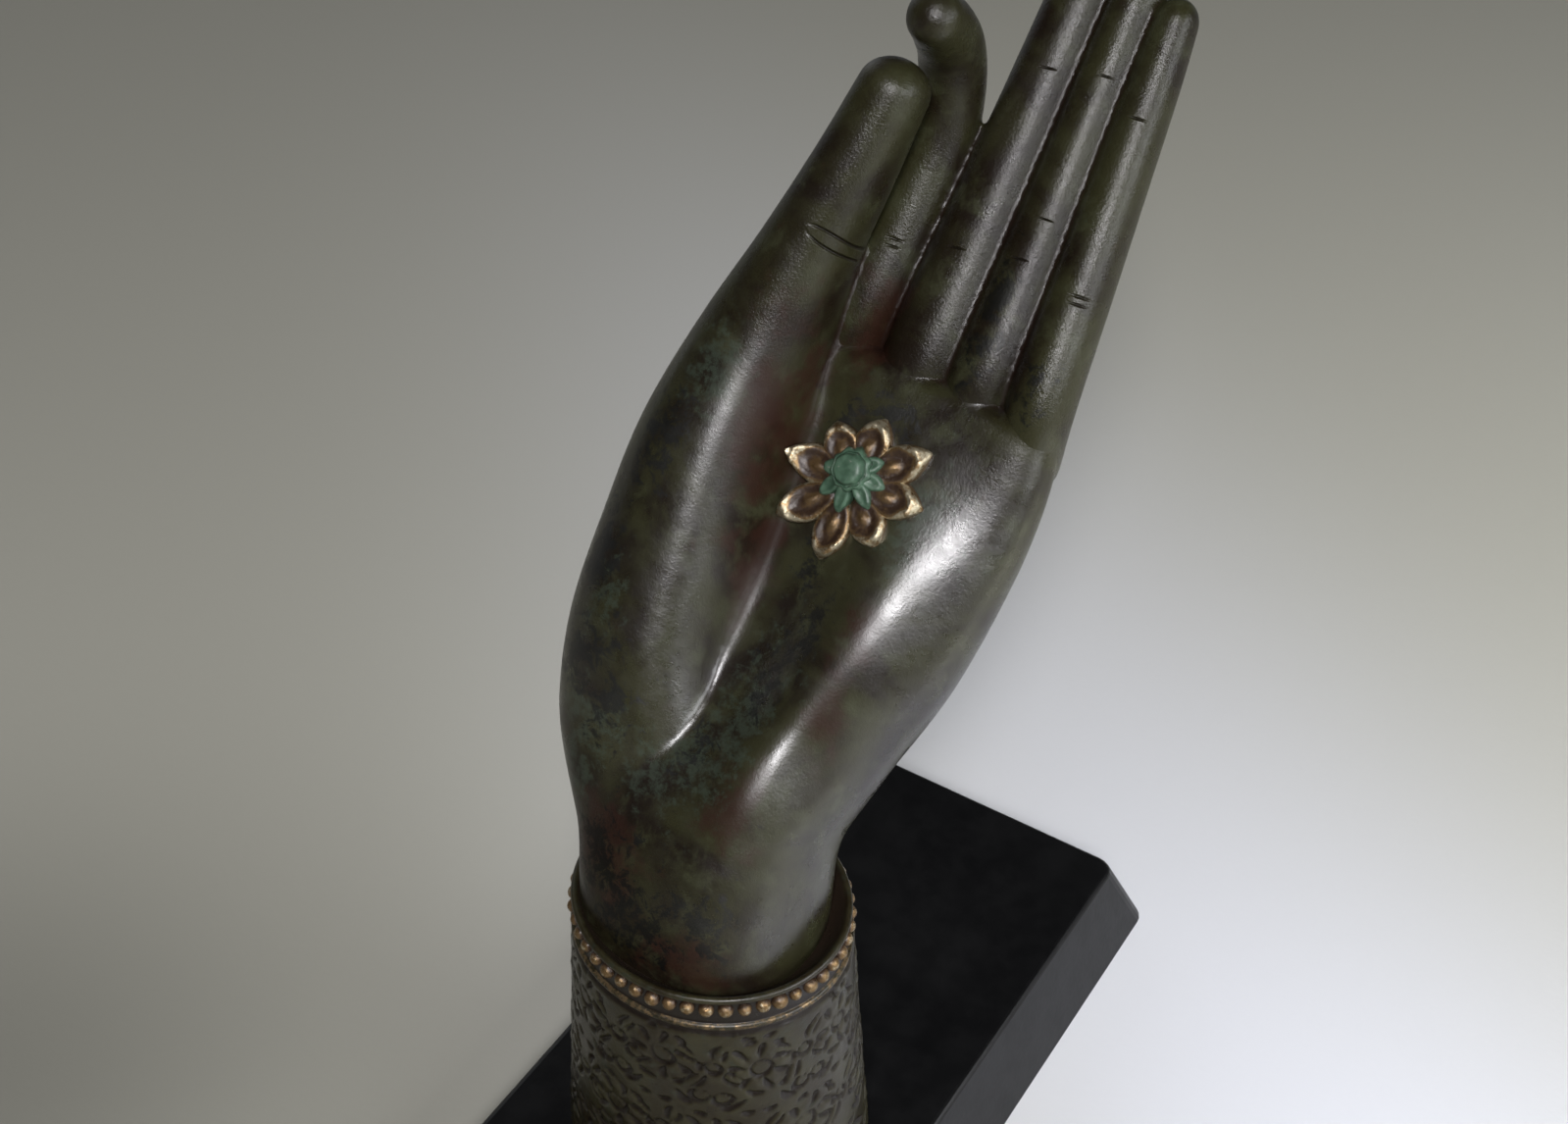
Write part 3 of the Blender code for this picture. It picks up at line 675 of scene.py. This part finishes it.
# %% Sleeve surface
columns = 470
angle = np.linspace(0, 2 * np.pi, columns, endpoint=False)
field_z = np.linspace(0.0, field_height - roll_radius, 142)
roll_turn = np.radians(np.linspace(-80, 80, 9))
low_roll_z = field_height + roll_radius * np.sin(roll_turn)
band_z = np.linspace(field_height + 1.1 * roll_radius, sleeve_height - 2.1 * roll_radius, 10)
top_roll_z = sleeve_height - roll_radius + roll_radius * np.sin(roll_turn)
z_rows = np.concatenate([field_z, low_roll_z, band_z, top_roll_z])[:, None]
girth = angle[None] * mean_radius
relief = brocade(girth + 0 * z_rows, z_rows + 0 * girth)
fade = ease(z_rows, 0, 1.5 * MM) * (1 - ease(z_rows, field_height - 3.2 * MM, field_height - 1.4 * MM))
relief = np.where(np.arange(len(z_rows))[:, None] < len(field_z), relief * fade, 0)
bulge = np.concatenate([np.zeros(len(field_z)), roll_radius * np.cos(roll_turn), np.zeros(len(band_z)),
                        roll_radius * np.cos(roll_turn)])[:, None]
half = sleeve_half(z_rows)
swell = relief * relief_height + bulge
outer = np.stack([(half[..., 0] + swell) * np.cos(angle), (half[..., 1] + swell) * np.sin(angle),
                  z_rows + 0 * angle], -1)
# the lip's profile, in mm inward from the rim and down
lip = np.array([(0.35, -0.05), (0.7, -0.35), (1.2, -1.0), (1.8, -1.9), (2.6, -2.9), (3.6, -3.9),
                (5.2, -5.1), (8.0, -6.0), (14.0, -6.0), (22.0, -6.0)]) * MM
rim = sleeve_half(np.array([sleeve_height]))[0]
lip_rings = np.stack([(rim[0] - lip[:, :1]) * np.cos(angle), (rim[1] - lip[:, :1]) * np.sin(angle),
                      sleeve_height + lip[:, 1:] + 0 * angle], -1)
inset = np.array([0.06, 0.3, 0.6, 0.85])[:, None]
foot_rings = np.stack([inset * foot_half[0] * np.cos(angle), inset * foot_half[1] * np.sin(angle),
                       0 * inset * angle], -1)
sleeve_rings = np.vstack([foot_rings, outer, lip_rings]) + np.array([0, sleeve_axis_y, sleeve_foot])
sleeve = stack_piece("sleeve", [sleeve_rings])
print("sleeve", triangles(sleeve), "triangles")


def row_values(foot, rows, lip_values):
    """One value a vertex of the sleeve: foot rings, outer rows, lip rings, and the two poles."""
    foot_values = np.full(foot_rings.shape[0] * columns, foot)
    outer_values = np.ravel(rows + np.zeros((1, columns)))
    return np.concatenate([foot_values, outer_values, np.repeat(lip_values, columns), [0, 0]])


no_lip = np.zeros(len(lip))
paint(sleeve, "relief", row_values(0, relief + 0.6 * (bulge > 0), no_lip + 0.5))
gilded = np.where(np.abs(z_rows - field_height) < 1.05 * roll_radius, 1.0, 0.0)
paint(sleeve, "gilding", row_values(0, gilded, no_lip))
paint(sleeve, "inside_lip", row_values(0, 0 * z_rows, ease(lip[:, 0], 0.4 * MM, 1.2 * MM)))

# %% [markdown]
# The beads are modelled on the band, nearly touching. Each is a small ball whose poles lie in and out, so
# its inner half sinks into the band. A little seeded chance in size and place keeps them hand-made, and
# the same in every run.

# %% Beads
bead_count = 48
bead_radius = 1.85 * MM
bead_turn = np.linspace(0, 2 * np.pi, bead_count, endpoint=False)
bead_z = sleeve_height - 0.42 * band_height
bead_half = sleeve_half(np.array([bead_z]))[0]
seeded = np.random.default_rng(7)
size = 1 + 0.08 * seeded.standard_normal(bead_count)
wander = 0.12 * MM * seeded.standard_normal((bead_count, 2))
bead_rings, bead_sides = 11, 14
tilt = np.radians(np.linspace(4, 176, bead_rings))[:, None]
round_bead = np.arange(bead_sides) * 2 * np.pi / bead_sides
bead_out = np.cos(tilt) + 0 * round_bead
bead_side = np.sin(tilt) * np.cos(round_bead)
bead_up = np.sin(tilt) * np.sin(round_bead)
sunk_in = 0.1 * MM
upward = np.array([0, 0, 1.0])
bead_stacks = []
for turn, scale, (slide, lift) in zip(bead_turn, size, wander):
    way = np.array([math.cos(turn), math.sin(turn), 0])
    side = np.array([-math.sin(turn), math.cos(turn), 0])
    bead_middle = np.array([bead_half[0] * way[0], sleeve_axis_y + bead_half[1] * way[1],
                            sleeve_foot + bead_z + lift]) - way * sunk_in + side * slide
    ball = bead_out[..., None] * way + bead_side[..., None] * side + bead_up[..., None] * upward
    bead_stacks.append(bead_middle + bead_radius * scale * ball)
beads = stack_piece("rim_beads", bead_stacks)
bead_rubbed = 0.75 * ease(np.cos(tilt), 0.1, 0.9) + np.zeros((1, bead_sides))
paint(beads, "rubbed", np.tile(np.append(bead_rubbed.ravel(), [1, 0]), bead_count))
print("beads", triangles(beads), "triangles")

# %% [markdown]
# Materials are built from small node chains. A few helpers keep them readable: a noise at a scale given
# by the size of its blotches, a stretch of contrast, and a mix of two colours by a mask.

# %% Node helpers
class Finish:
    """A Principled material whose colour, roughness and bump are fed by nodes."""

    def __init__(self, name):
        """A new material, its shader, and the place that every texture is laid out on."""
        self.material = bpy.data.materials.new(name)
        self.material.use_nodes = True
        self.tree = self.material.node_tree
        self.shader = self.tree.nodes["Principled BSDF"]
        self.place = self.add("ShaderNodeTexCoord").outputs["Object"]

    def add(self, kind, **settings):
        """A node of this kind with its settings."""
        node = self.tree.nodes.new(kind)
        for key, value in settings.items():
            setattr(node, key, value)
        return node

    def feed(self, socket, value):
        """Links a socket, or sets its plain value."""
        if isinstance(value, bpy.types.NodeSocket):
            self.tree.links.new(value, socket)
        else:
            socket.default_value = value

    def noise(self, blotch, detail=4.0, rough=0.55, warp=0.0, stretch=None):
        """Noise from 0 to 1 whose blotches are about this many metres across."""
        node = self.add("ShaderNodeTexNoise")
        place = self.place
        if stretch:
            shaped = self.add("ShaderNodeMapping")
            self.feed(shaped.inputs["Vector"], place)
            shaped.inputs["Scale"].default_value = stretch
            place = shaped.outputs["Vector"]
        self.feed(node.inputs["Vector"], place)
        node.inputs["Scale"].default_value = 1 / blotch
        node.inputs["Detail"].default_value = detail
        node.inputs["Roughness"].default_value = rough
        node.inputs["Distortion"].default_value = warp
        return node.outputs["Fac"]

    def span(self, value, low, high, start=0.0, end=1.0):
        """Maps low..high to start..end with a smooth step, held outside it."""
        node = self.add("ShaderNodeMapRange", interpolation_type="SMOOTHSTEP")
        self.feed(node.inputs["Value"], value)
        for name, number in (("From Min", low), ("From Max", high), ("To Min", start), ("To Max", end)):
            node.inputs[name].default_value = number
        return node.outputs["Result"]

    def calc(self, operation, a, b=0.0):
        """One arithmetic step."""
        node = self.add("ShaderNodeMath", operation=operation)
        self.feed(node.inputs[0], a)
        self.feed(node.inputs[1], b)
        return node.outputs["Value"]

    def mix(self, share, a, b):
        """Colour a where share is 0, colour b where it is 1."""
        node = self.add("ShaderNodeMix", data_type="RGBA")
        self.feed(node.inputs["Factor"], share)
        for socket, colour in ((node.inputs[6], a), (node.inputs[7], b)):
            self.feed(socket, (*colour, 1.0) if isinstance(colour, tuple) else colour)
        return node.outputs[2]

    def spot(self, place, radii, turned=(0, 0, 0)):
        """1 in the middle of a turned ellipsoid of these radii, falling smoothly to 0 at its edge."""
        shaped = self.add("ShaderNodeMapping", vector_type="TEXTURE")
        self.feed(shaped.inputs["Vector"], self.place)
        for name, value in (("Location", place), ("Rotation", turned), ("Scale", radii)):
            shaped.inputs[name].default_value = value
        length = self.add("ShaderNodeVectorMath", operation="LENGTH")
        self.feed(length.inputs[0], shaped.outputs["Vector"])
        return self.span(length.outputs["Value"], 0.0, 1.0, 1.0, 0.0)

    def arc(self, place, turned, radius, half_width):
        """1 on a circle in the turned plane through place, falling to 0 this far from its line."""
        flat = self.add("ShaderNodeMapping", vector_type="TEXTURE")
        self.feed(flat.inputs["Vector"], self.place)
        for name, value in (("Location", place), ("Rotation", turned), ("Scale", (1, 1000, 1))):
            flat.inputs[name].default_value = value
        away = self.add("ShaderNodeVectorMath", operation="LENGTH")
        self.feed(away.inputs[0], flat.outputs["Vector"])
        off_line = self.calc("ABSOLUTE", self.calc("SUBTRACT", away.outputs["Value"], radius))
        return self.span(off_line, 0, half_width, 1, 0)

    def painted(self, name):
        """The number a vertex that was stored under this name."""
        return self.add("ShaderNodeAttribute", attribute_name=name).outputs["Fac"]

    def patches(self, zone_name, push, low, high, blotch, detail, rough, warp=0.0):
        """Patches of a noise that grow denser where a painted zone pushes the noise up."""
        pushed = self.calc("MULTIPLY", self.painted(zone_name), push)
        return self.span(self.calc("ADD", self.noise(blotch, detail, rough, warp), pushed), low, high)

    def bump(self, height, depth, strength=1.0, after=None):
        """Adds relief of this depth in metres to the shading."""
        node = self.add("ShaderNodeBump")
        node.inputs["Strength"].default_value = strength
        node.inputs["Distance"].default_value = depth
        self.feed(node.inputs["Height"], height)
        if after:
            self.feed(node.inputs["Normal"], after)
        return node.outputs["Normal"]

    def finish(self, colour, roughness, normal, metallic=0.0, specular=0.5):
        """Feeds the shader's sockets."""
        self.feed(self.shader.inputs["Base Color"], colour)
        self.feed(self.shader.inputs["Roughness"], roughness)
        self.feed(self.shader.inputs["Normal"], normal)
        self.feed(self.shader.inputs["Metallic"], metallic)
        self.shader.inputs["Specular IOR Level"].default_value = specular
        return self.material


# %% [markdown]
# The patina: a satin skin over dark bronze. Dark brown and olive drift into each other in cloudy patches,
# reddish brown gathers beside the creases, and black speckles and green bloom lie in zones. Each is a mask
# from noise, shaped by what was painted on the skin. The carver's nicks at the finger joints and the fold
# on the thumb are thinner than the skin's faces, so the material cuts them: each is a mask of the distance
# from a short line or an arc, which darkens the colour and sinks the bump.

# %% Patina
patina = Finish("patina_skin")
hollow = patina.painted("hollow")
dark_brown, olive, pale_olive = (0.0075, 0.0048, 0.0026), (0.0210, 0.0205, 0.0085), (0.032, 0.034, 0.017)
reddish, bloom_green = (0.021, 0.0085, 0.0055), (0.032, 0.043, 0.030)
speckle_black, valley_brown, cut_brown = (0.0020, 0.0021, 0.0018), (0.011, 0.0055, 0.0042), (0.006, 0.004, 0.003)
colour = patina.mix(patina.span(patina.noise(0.022, 6, 0.62, 0.6), 0.36, 0.64), dark_brown, olive)
colour = patina.mix(patina.span(patina.noise(0.009, 5, 0.65, 0.3), 0.50, 0.72, 0, 0.75), colour, pale_olive)
rust = patina.patches("rust_zone", 0.35, 0.62, 0.86, 0.010, 5, 0.65)
colour = patina.mix(patina.calc("MULTIPLY", rust, 0.75), colour, reddish)
bloom = patina.patches("green_zone", 0.25, 0.64, 0.80, 0.0040, 6, 0.75)
colour = patina.mix(patina.calc("MULTIPLY", bloom, 0.6), colour, bloom_green)
speckle = patina.patches("speckle_zone", 0.20, 0.63, 0.70, 0.0048, 8, 0.8, 0.5)
colour = patina.mix(patina.calc("MULTIPLY", speckle, 0.85), colour, speckle_black)
valley = patina.span(hollow, 0.10, 0.75)
colour = patina.mix(patina.calc("MULTIPLY", valley, 0.75), colour, valley_brown)
grain = patina.noise(0.0006, 3, 0.7)
pits = patina.noise(0.0026, 5, 0.6)
dull = patina.calc("MULTIPLY", patina.painted("rust_zone"), 0.12)
roughness = patina.calc("ADD", patina.span(patina.noise(0.006, 5, 0.6), 0.3, 0.7, 0.25, 0.34),
                        patina.calc("ADD", patina.calc("MULTIPLY", speckle, 0.10), dull))

# each nick: place (across, outward, up), half length and half width in mm, and its turn in degrees
nicks = [
    (-6.0, 8.4, 158.6, 2.6, 0.55, 0), (-6.0, 8.4, 156.9, 2.2, 0.50, 0), (8.5, 9.0, 161.0, 2.6, 0.40, 4),
    (14.4, 7.5, 203.2, 2.4, 0.40, 4), (23.0, 8.8, 163.0, 2.6, 0.40, 2), (25.8, 8.4, 172.6, 2.2, 0.30, 0),
    (27.4, 7.2, 204.8, 2.4, 0.40, 2), (39.0, 8.6, 159.3, 3.2, 0.50, 0), (39.0, 8.6, 157.6, 2.8, 0.45, 0),
    (37.2, 7.0, 198.2, 2.6, 0.45, 0),
]
cut = 0.0
for across, outward, up, half_length, half_width, turn in nicks:
    place = place_hand(np.array([across, -outward, up]) * MM)
    turned_mark = Matrix.Rotation(-lean_back, 3, "X") @ Matrix.Rotation(-math.radians(turn), 3, "Y")
    mark = patina.spot(place, (half_length * MM, 3.5 * MM, half_width * MM), turned_mark.to_euler())
    cut = patina.calc("MAXIMUM", mark, cut)

# the thumb's fold is a lens between two arcs; each: centre (across, up) and radius in mm
fold_middle = place_hand(np.array([-10.5, -25, 153.6]) * MM)
fold_spot = patina.spot(fold_middle, (10 * MM, 16 * MM, 6.5 * MM), (-lean_back, 0.5, 0))
near_fold = patina.span(fold_spot, 0.02, 0.35)
for arc_across, arc_up, radius in ((-15.8, 141.0, 14.6), (-7.2, 168.0, 17.0)):
    centre = place_hand(np.array([arc_across, 0, arc_up]) * MM)
    line = patina.arc(centre, (-lean_back, 0, 0), radius * MM, 0.55 * MM)
    cut = patina.calc("MAXIMUM", patina.calc("MULTIPLY", line, near_fold), cut)
colour = patina.mix(patina.calc("MULTIPLY", cut, 0.8), colour, cut_brown)
relief_normal = patina.bump(pits, 0.00006)
grain_share = patina.span(patina.painted("grain_zone"), 0, 1, 0.35, 1.0)
relief_normal = patina.bump(patina.calc("MULTIPLY", grain, grain_share), 0.00013, after=relief_normal)
relief_normal = patina.bump(patina.calc("MULTIPLY", cut, -1.0), 0.0005, after=relief_normal)
patina_finish = patina.finish(colour, roughness, relief_normal)
shine = patina.calc("MULTIPLY", patina.span(patina.painted("rust_zone"), 0, 1, 0.76, 0.24),
                    patina.calc("MULTIPLY", patina.span(patina.painted("grain_zone"), 0, 1, 1.0, 0.45),
                                patina.span(patina.painted("matt_zone"), 0, 1, 1.0, 0.22)))
patina.feed(patina.shader.inputs["Specular IOR Level"], shine)

# %% [markdown]
# The sleeve's paint: satin olive brown rubbed over a dark brown ground, so the recesses stay dark. The roll
# under the beads, the beads and the petals are gilt, worn so that the brown shows in their shade.

# %% Sleeve paint and gilt
paint_coat = Finish("sleeve_paint_coat")
high = paint_coat.painted("relief")
flecks = paint_coat.noise(0.004, 6, 0.7)
ground_brown, olive_brown, rubbed_olive = (0.005, 0.0026, 0.0012), (0.0125, 0.0092, 0.0034), (0.023, 0.0205, 0.0085)
fleck_green, worn_gold, lip_brown = (0.018, 0.022, 0.014), (0.17, 0.12, 0.065), (0.018, 0.012, 0.008)
cover = paint_coat.span(paint_coat.calc("ADD", high, paint_coat.calc("MULTIPLY", flecks, 0.7)), 0.62, 1.02)
rubbed_share = paint_coat.span(paint_coat.noise(0.010, 5, 0.6), 0.35, 0.65)
olive_paint = paint_coat.mix(rubbed_share, olive_brown, rubbed_olive)
green_share = paint_coat.span(paint_coat.noise(0.0035, 6, 0.7), 0.52, 0.70, 0, 0.8)
colour = paint_coat.mix(cover, ground_brown, paint_coat.mix(green_share, olive_paint, fleck_green))
gold_wear = paint_coat.span(paint_coat.noise(0.0016, 5, 0.7), 0.46, 0.62)
golden = paint_coat.calc("MULTIPLY", paint_coat.painted("gilding"), gold_wear)
colour = paint_coat.mix(golden, colour, worn_gold)
colour = paint_coat.mix(paint_coat.painted("inside_lip"), colour, lip_brown)
coat_normal = paint_coat.bump(flecks, 0.00012)
coat_normal = paint_coat.bump(paint_coat.noise(0.0009, 4, 0.6), 0.00005, after=coat_normal)
paint_finish = paint_coat.finish(colour, paint_coat.span(flecks, 0.3, 0.7, 0.27, 0.42), coat_normal,
                                 paint_coat.calc("MULTIPLY", golden, 0.8), specular=0.38)


def gilt_coat(name, ground, gold, bare):
    """Gold rubbed on a dark ground: it stays where the rubbed mask and a noise are high, and where a finer
    noise is high too it is worn to a bare pale tone."""
    gilt = Finish(name)
    mask = gilt.calc("ADD", gilt.calc("MULTIPLY", gilt.painted("rubbed"), 0.6), gilt.noise(0.0022, 6, 0.7))
    worn = gilt.span(mask, 0.48, 1.02)
    colour = gilt.mix(worn, ground, gold)
    bare_share = gilt.span(gilt.calc("ADD", mask, gilt.noise(0.0010, 4, 0.7)), 1.40, 1.70)
    colour = gilt.mix(bare_share, colour, bare)
    normal = gilt.bump(gilt.noise(0.0009, 5, 0.65), 0.00016)
    roughness = gilt.span(gilt.noise(0.002, 4, 0.6), 0.3, 0.7, 0.26, 0.44)
    return gilt.finish(colour, roughness, normal, gilt.span(worn, 0, 1, 0.1, 0.8))


gilt_finish = gilt_coat("gilt_leaf", (0.026, 0.014, 0.008), (0.19, 0.120, 0.052), (0.42, 0.37, 0.26))

# %% [markdown]
# Turquoise enamel, the plinth's black lacquer and the screws' zinc are the same few steps with other
# blotches: a cloud for the colour, a finer noise for what is rubbed or dusty, and a slight bump.

# %% Turquoise
turquoise = Finish("turquoise_enamel")
cloud = turquoise.noise(0.003, 6, 0.65)
colour = turquoise.mix(turquoise.span(cloud, 0.35, 0.65), (0.030, 0.062, 0.038), (0.056, 0.108, 0.068))
rubbed = turquoise.span(turquoise.noise(0.0016, 5, 0.7), 0.60, 0.70)
colour = turquoise.mix(rubbed, colour, (0.16, 0.17, 0.14))
turquoise_normal = turquoise.bump(cloud, 0.00015)
turquoise_finish = turquoise.finish(colour, turquoise.span(cloud, 0.3, 0.7, 0.34, 0.5), turquoise_normal)

# %% Lacquer and steel
lacquer = Finish("black_lacquer_coat")
dust = lacquer.noise(0.0012, 6, 0.8)
cloud = lacquer.noise(0.03, 5, 0.6)
colour = lacquer.mix(lacquer.span(cloud, 0.3, 0.7), (0.0018, 0.0018, 0.0020), (0.0035, 0.0035, 0.0037))
colour = lacquer.mix(lacquer.span(dust, 0.66, 0.76, 0, 0.35), colour, (0.06, 0.06, 0.06))
lacquer_normal = lacquer.bump(lacquer.noise(0.0015, 5, 0.6), 0.00004)
lacquer_roughness = lacquer.span(lacquer.noise(0.008, 5, 0.6), 0.3, 0.7, 0.32, 0.42)
lacquer_finish = lacquer.finish(colour, lacquer_roughness, lacquer_normal, specular=0.35)

steel = Finish("zinc_steel_plate")
crystal = steel.noise(0.0015, 4, 0.6, stretch=(1, 1, 6))
colour = steel.mix(crystal, (0.42, 0.42, 0.43), (0.64, 0.64, 0.62))
steel_normal = steel.bump(crystal, 0.00003)
steel_finish = steel.finish(colour, steel.span(crystal, 0.3, 0.7, 0.26, 0.42), steel_normal, 1.0)

# %% [markdown]
# Every new piece stands for the imported casting: it gets its material and the body that it rides on. The plinth
# and the screws keep their imported solids, which are plain forms, and only get finer materials.

# %% Finish every piece
dressing = [(hand_skin, patina_finish, "patina"), (finger_skin, patina_finish, "patina"),
            (sleeve, paint_finish, "sleeve_paint"), (beads, gilt_finish, "gilt"),
            (petals, gilt_finish, "gilt"), (inner_leaves, turquoise_finish, "turquoise"),
            (boss, turquoise_finish, "turquoise")]
for piece, finish, slot in dressing:
    piece.data.materials.clear()
    piece.data.materials.append(finish)
    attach(piece, "root")
    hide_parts("hand_casting")
kept_solids = [("plinth", lacquer_finish), ("fixing_screw_front", steel_finish),
               ("fixing_screw_rear", steel_finish)]
for node, finish in kept_solids:
    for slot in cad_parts[node].material_slots:
        slot.material = finish

# %% [markdown]
# A plain pale floor, with light and shade painted into its colour. A painted pool of light to the right
# turns its tone from grey to white, as paper does under one window. Painted shade lies to the left and
# towards the viewer, as of a darker room. Far out it glows a little, like a backdrop, so that no view
# ends in a black horizon.

# %% Floor
floor_reach = 6.0
corners = [(-1, -1), (1, -1), (1, 1), (-1, 1)]
floor_mesh = bpy.data.meshes.new("floor")
floor_mesh.from_pydata([(x * floor_reach, y * floor_reach, 0) for x, y in corners], [], [(0, 1, 2, 3)])
floor = bpy.data.objects.new("floor", floor_mesh)
bpy.context.scene.collection.objects.link(floor)
paper = Finish("floor_paper")
where = paper.add("ShaderNodeSeparateXYZ")
paper.feed(where.inputs[0], paper.place)


def pool(x, y, turn, wide, long):
    """A soft pool of painted light, or of painted shade where it darkens, on the floor: a bell of the distance from
    a place, wide and long in a turned frame.
    """
    x_off = paper.calc("SUBTRACT", where.outputs["X"], x)
    y_off = paper.calc("SUBTRACT", where.outputs["Y"], y)
    c, s = math.cos(turn), math.sin(turn)
    squares = 0.0
    for x_part, y_part in ((c / wide, s / wide), (-s / long, c / long)):
        off = paper.calc("ADD", paper.calc("MULTIPLY", x_off, x_part), paper.calc("MULTIPLY", y_off, y_part))
        squares = paper.calc("ADD", paper.calc("MULTIPLY", off, off), squares)
    return paper.calc("EXPONENT", paper.calc("MULTIPLY", squares, -1.0))


warm_grey, painted_light_white, painted_shade = (0.375, 0.37, 0.318), (0.60, 0.615, 0.66), (0.05, 0.05, 0.04)
# painted light: a pale pool to the right; painted shade: a dark pool at the left and a broad one towards the viewer
colour = paper.mix(pool(0.305, -0.08, 0.913, 0.13, 0.60), warm_grey, painted_light_white)
colour = paper.mix(paper.calc("MULTIPLY", pool(-0.19, -0.13, 0, 0.12, 0.10), 0.55), colour, painted_shade)
colour = paper.mix(paper.calc("MULTIPLY", pool(0.00, -0.36, 0, 0.34, 0.16), 0.75), colour, painted_shade)
paper_normal = paper.bump(paper.noise(0.002, 3, 0.5), 0.00005)
floor_mesh.materials.append(paper.finish(colour, 0.8, paper_normal, 0.0, 0.2))
# painted glow: far out the floor emits light, though it is no lamp
far = paper.add("ShaderNodeVectorMath", operation="LENGTH")
paper.feed(far.inputs[0], paper.place)
paper.shader.inputs["Emission Color"].default_value = (0.90, 0.94, 1.0, 1)
paper.feed(paper.shader.inputs["Emission Strength"], paper.span(far.outputs["Value"], 0.9, 3.0, 0, 0.42))

# %% [markdown]
# Soft lamps. The window stands close to the viewer's side, halfway between the view and the crests that
# shine, which puts the long soft highlights on thumb and fingers. A glow lies on the floor to the right,
# because the wrist's and the sleeve's right flanks mirror it, and a weak lamp behind fills the far side.

# %% Lamps and world
def lamp(name, place, target, width, height, power, tint=(1, 1, 1)):
    """A soft rectangular lamp at a place, turned to a target."""
    data = bpy.data.lights.new(name, "AREA")
    data.shape = "RECTANGLE"
    data.size, data.size_y = width, height
    data.energy = power
    data.color = tint
    made = bpy.data.objects.new(name, data)
    made.location = place
    made.rotation_euler = (Vector(target) - Vector(place)).to_track_quat("-Z", "Y").to_euler()
    bpy.context.scene.collection.objects.link(made)
    return made


hand_middle = Vector((0, 0, 0.15))
window_away, window_way = 1.6, Vector((0.36, -0.60, 0.715))
daylight = (0.96, 0.98, 1.0)
lamp("window", hand_middle + window_away * window_way, hand_middle, 0.34, 0.34, 26, (1.0, 0.98, 1.0))
lamp("side_fill", (1.9, -0.2, 1.1), (0.3, 0, 0), 1.4, 1.4, 2, daylight)
lamp("floor_glow", (0.90, 0.0, 0.50), (0.90, 0.0, 0), 0.8, 0.8, 17, (0.96, 0.97, 1.0))
lamp("back_fill", (-2.6, 1.6, 1.4), hand_middle, 2.0, 2.0, 9, daylight)
world = bpy.data.worlds.new("room")
world.use_nodes = True
backdrop = world.node_tree.nodes["Background"]
backdrop.inputs["Color"].default_value = (0.9, 0.95, 1.0, 1)
seen = world.node_tree.nodes.new("ShaderNodeLightPath")
level = world.node_tree.nodes.new("ShaderNodeMapRange")
level.inputs["To Min"].default_value = 0.03
level.inputs["To Max"].default_value = 0.45
world.node_tree.links.new(seen.outputs["Is Camera Ray"], level.inputs["Value"])
world.node_tree.links.new(level.outputs["Result"], backdrop.inputs["Strength"])
bpy.context.scene.world = world
bpy.context.scene.view_settings.view_transform = "Standard"

# %% [markdown]
# The camera's place, direction and lens were worked out from the plinth's edges and their vanishing points,
# so the render and the photo frame the object alike.

# %% Camera
eye = Vector((0.18441, -0.28709, 0.48225))
look = Vector((-0.4135, 0.6380, -0.6497))
camera_data = bpy.data.cameras.new("camera")
camera_data.lens = 46.62
camera_data.sensor_width = 36
camera = bpy.data.objects.new("camera", camera_data)
camera.location = eye
camera.rotation_euler = look.to_track_quat("-Z", "Y").to_euler()
bpy.context.scene.collection.objects.link(camera)
bpy.context.scene.camera = camera
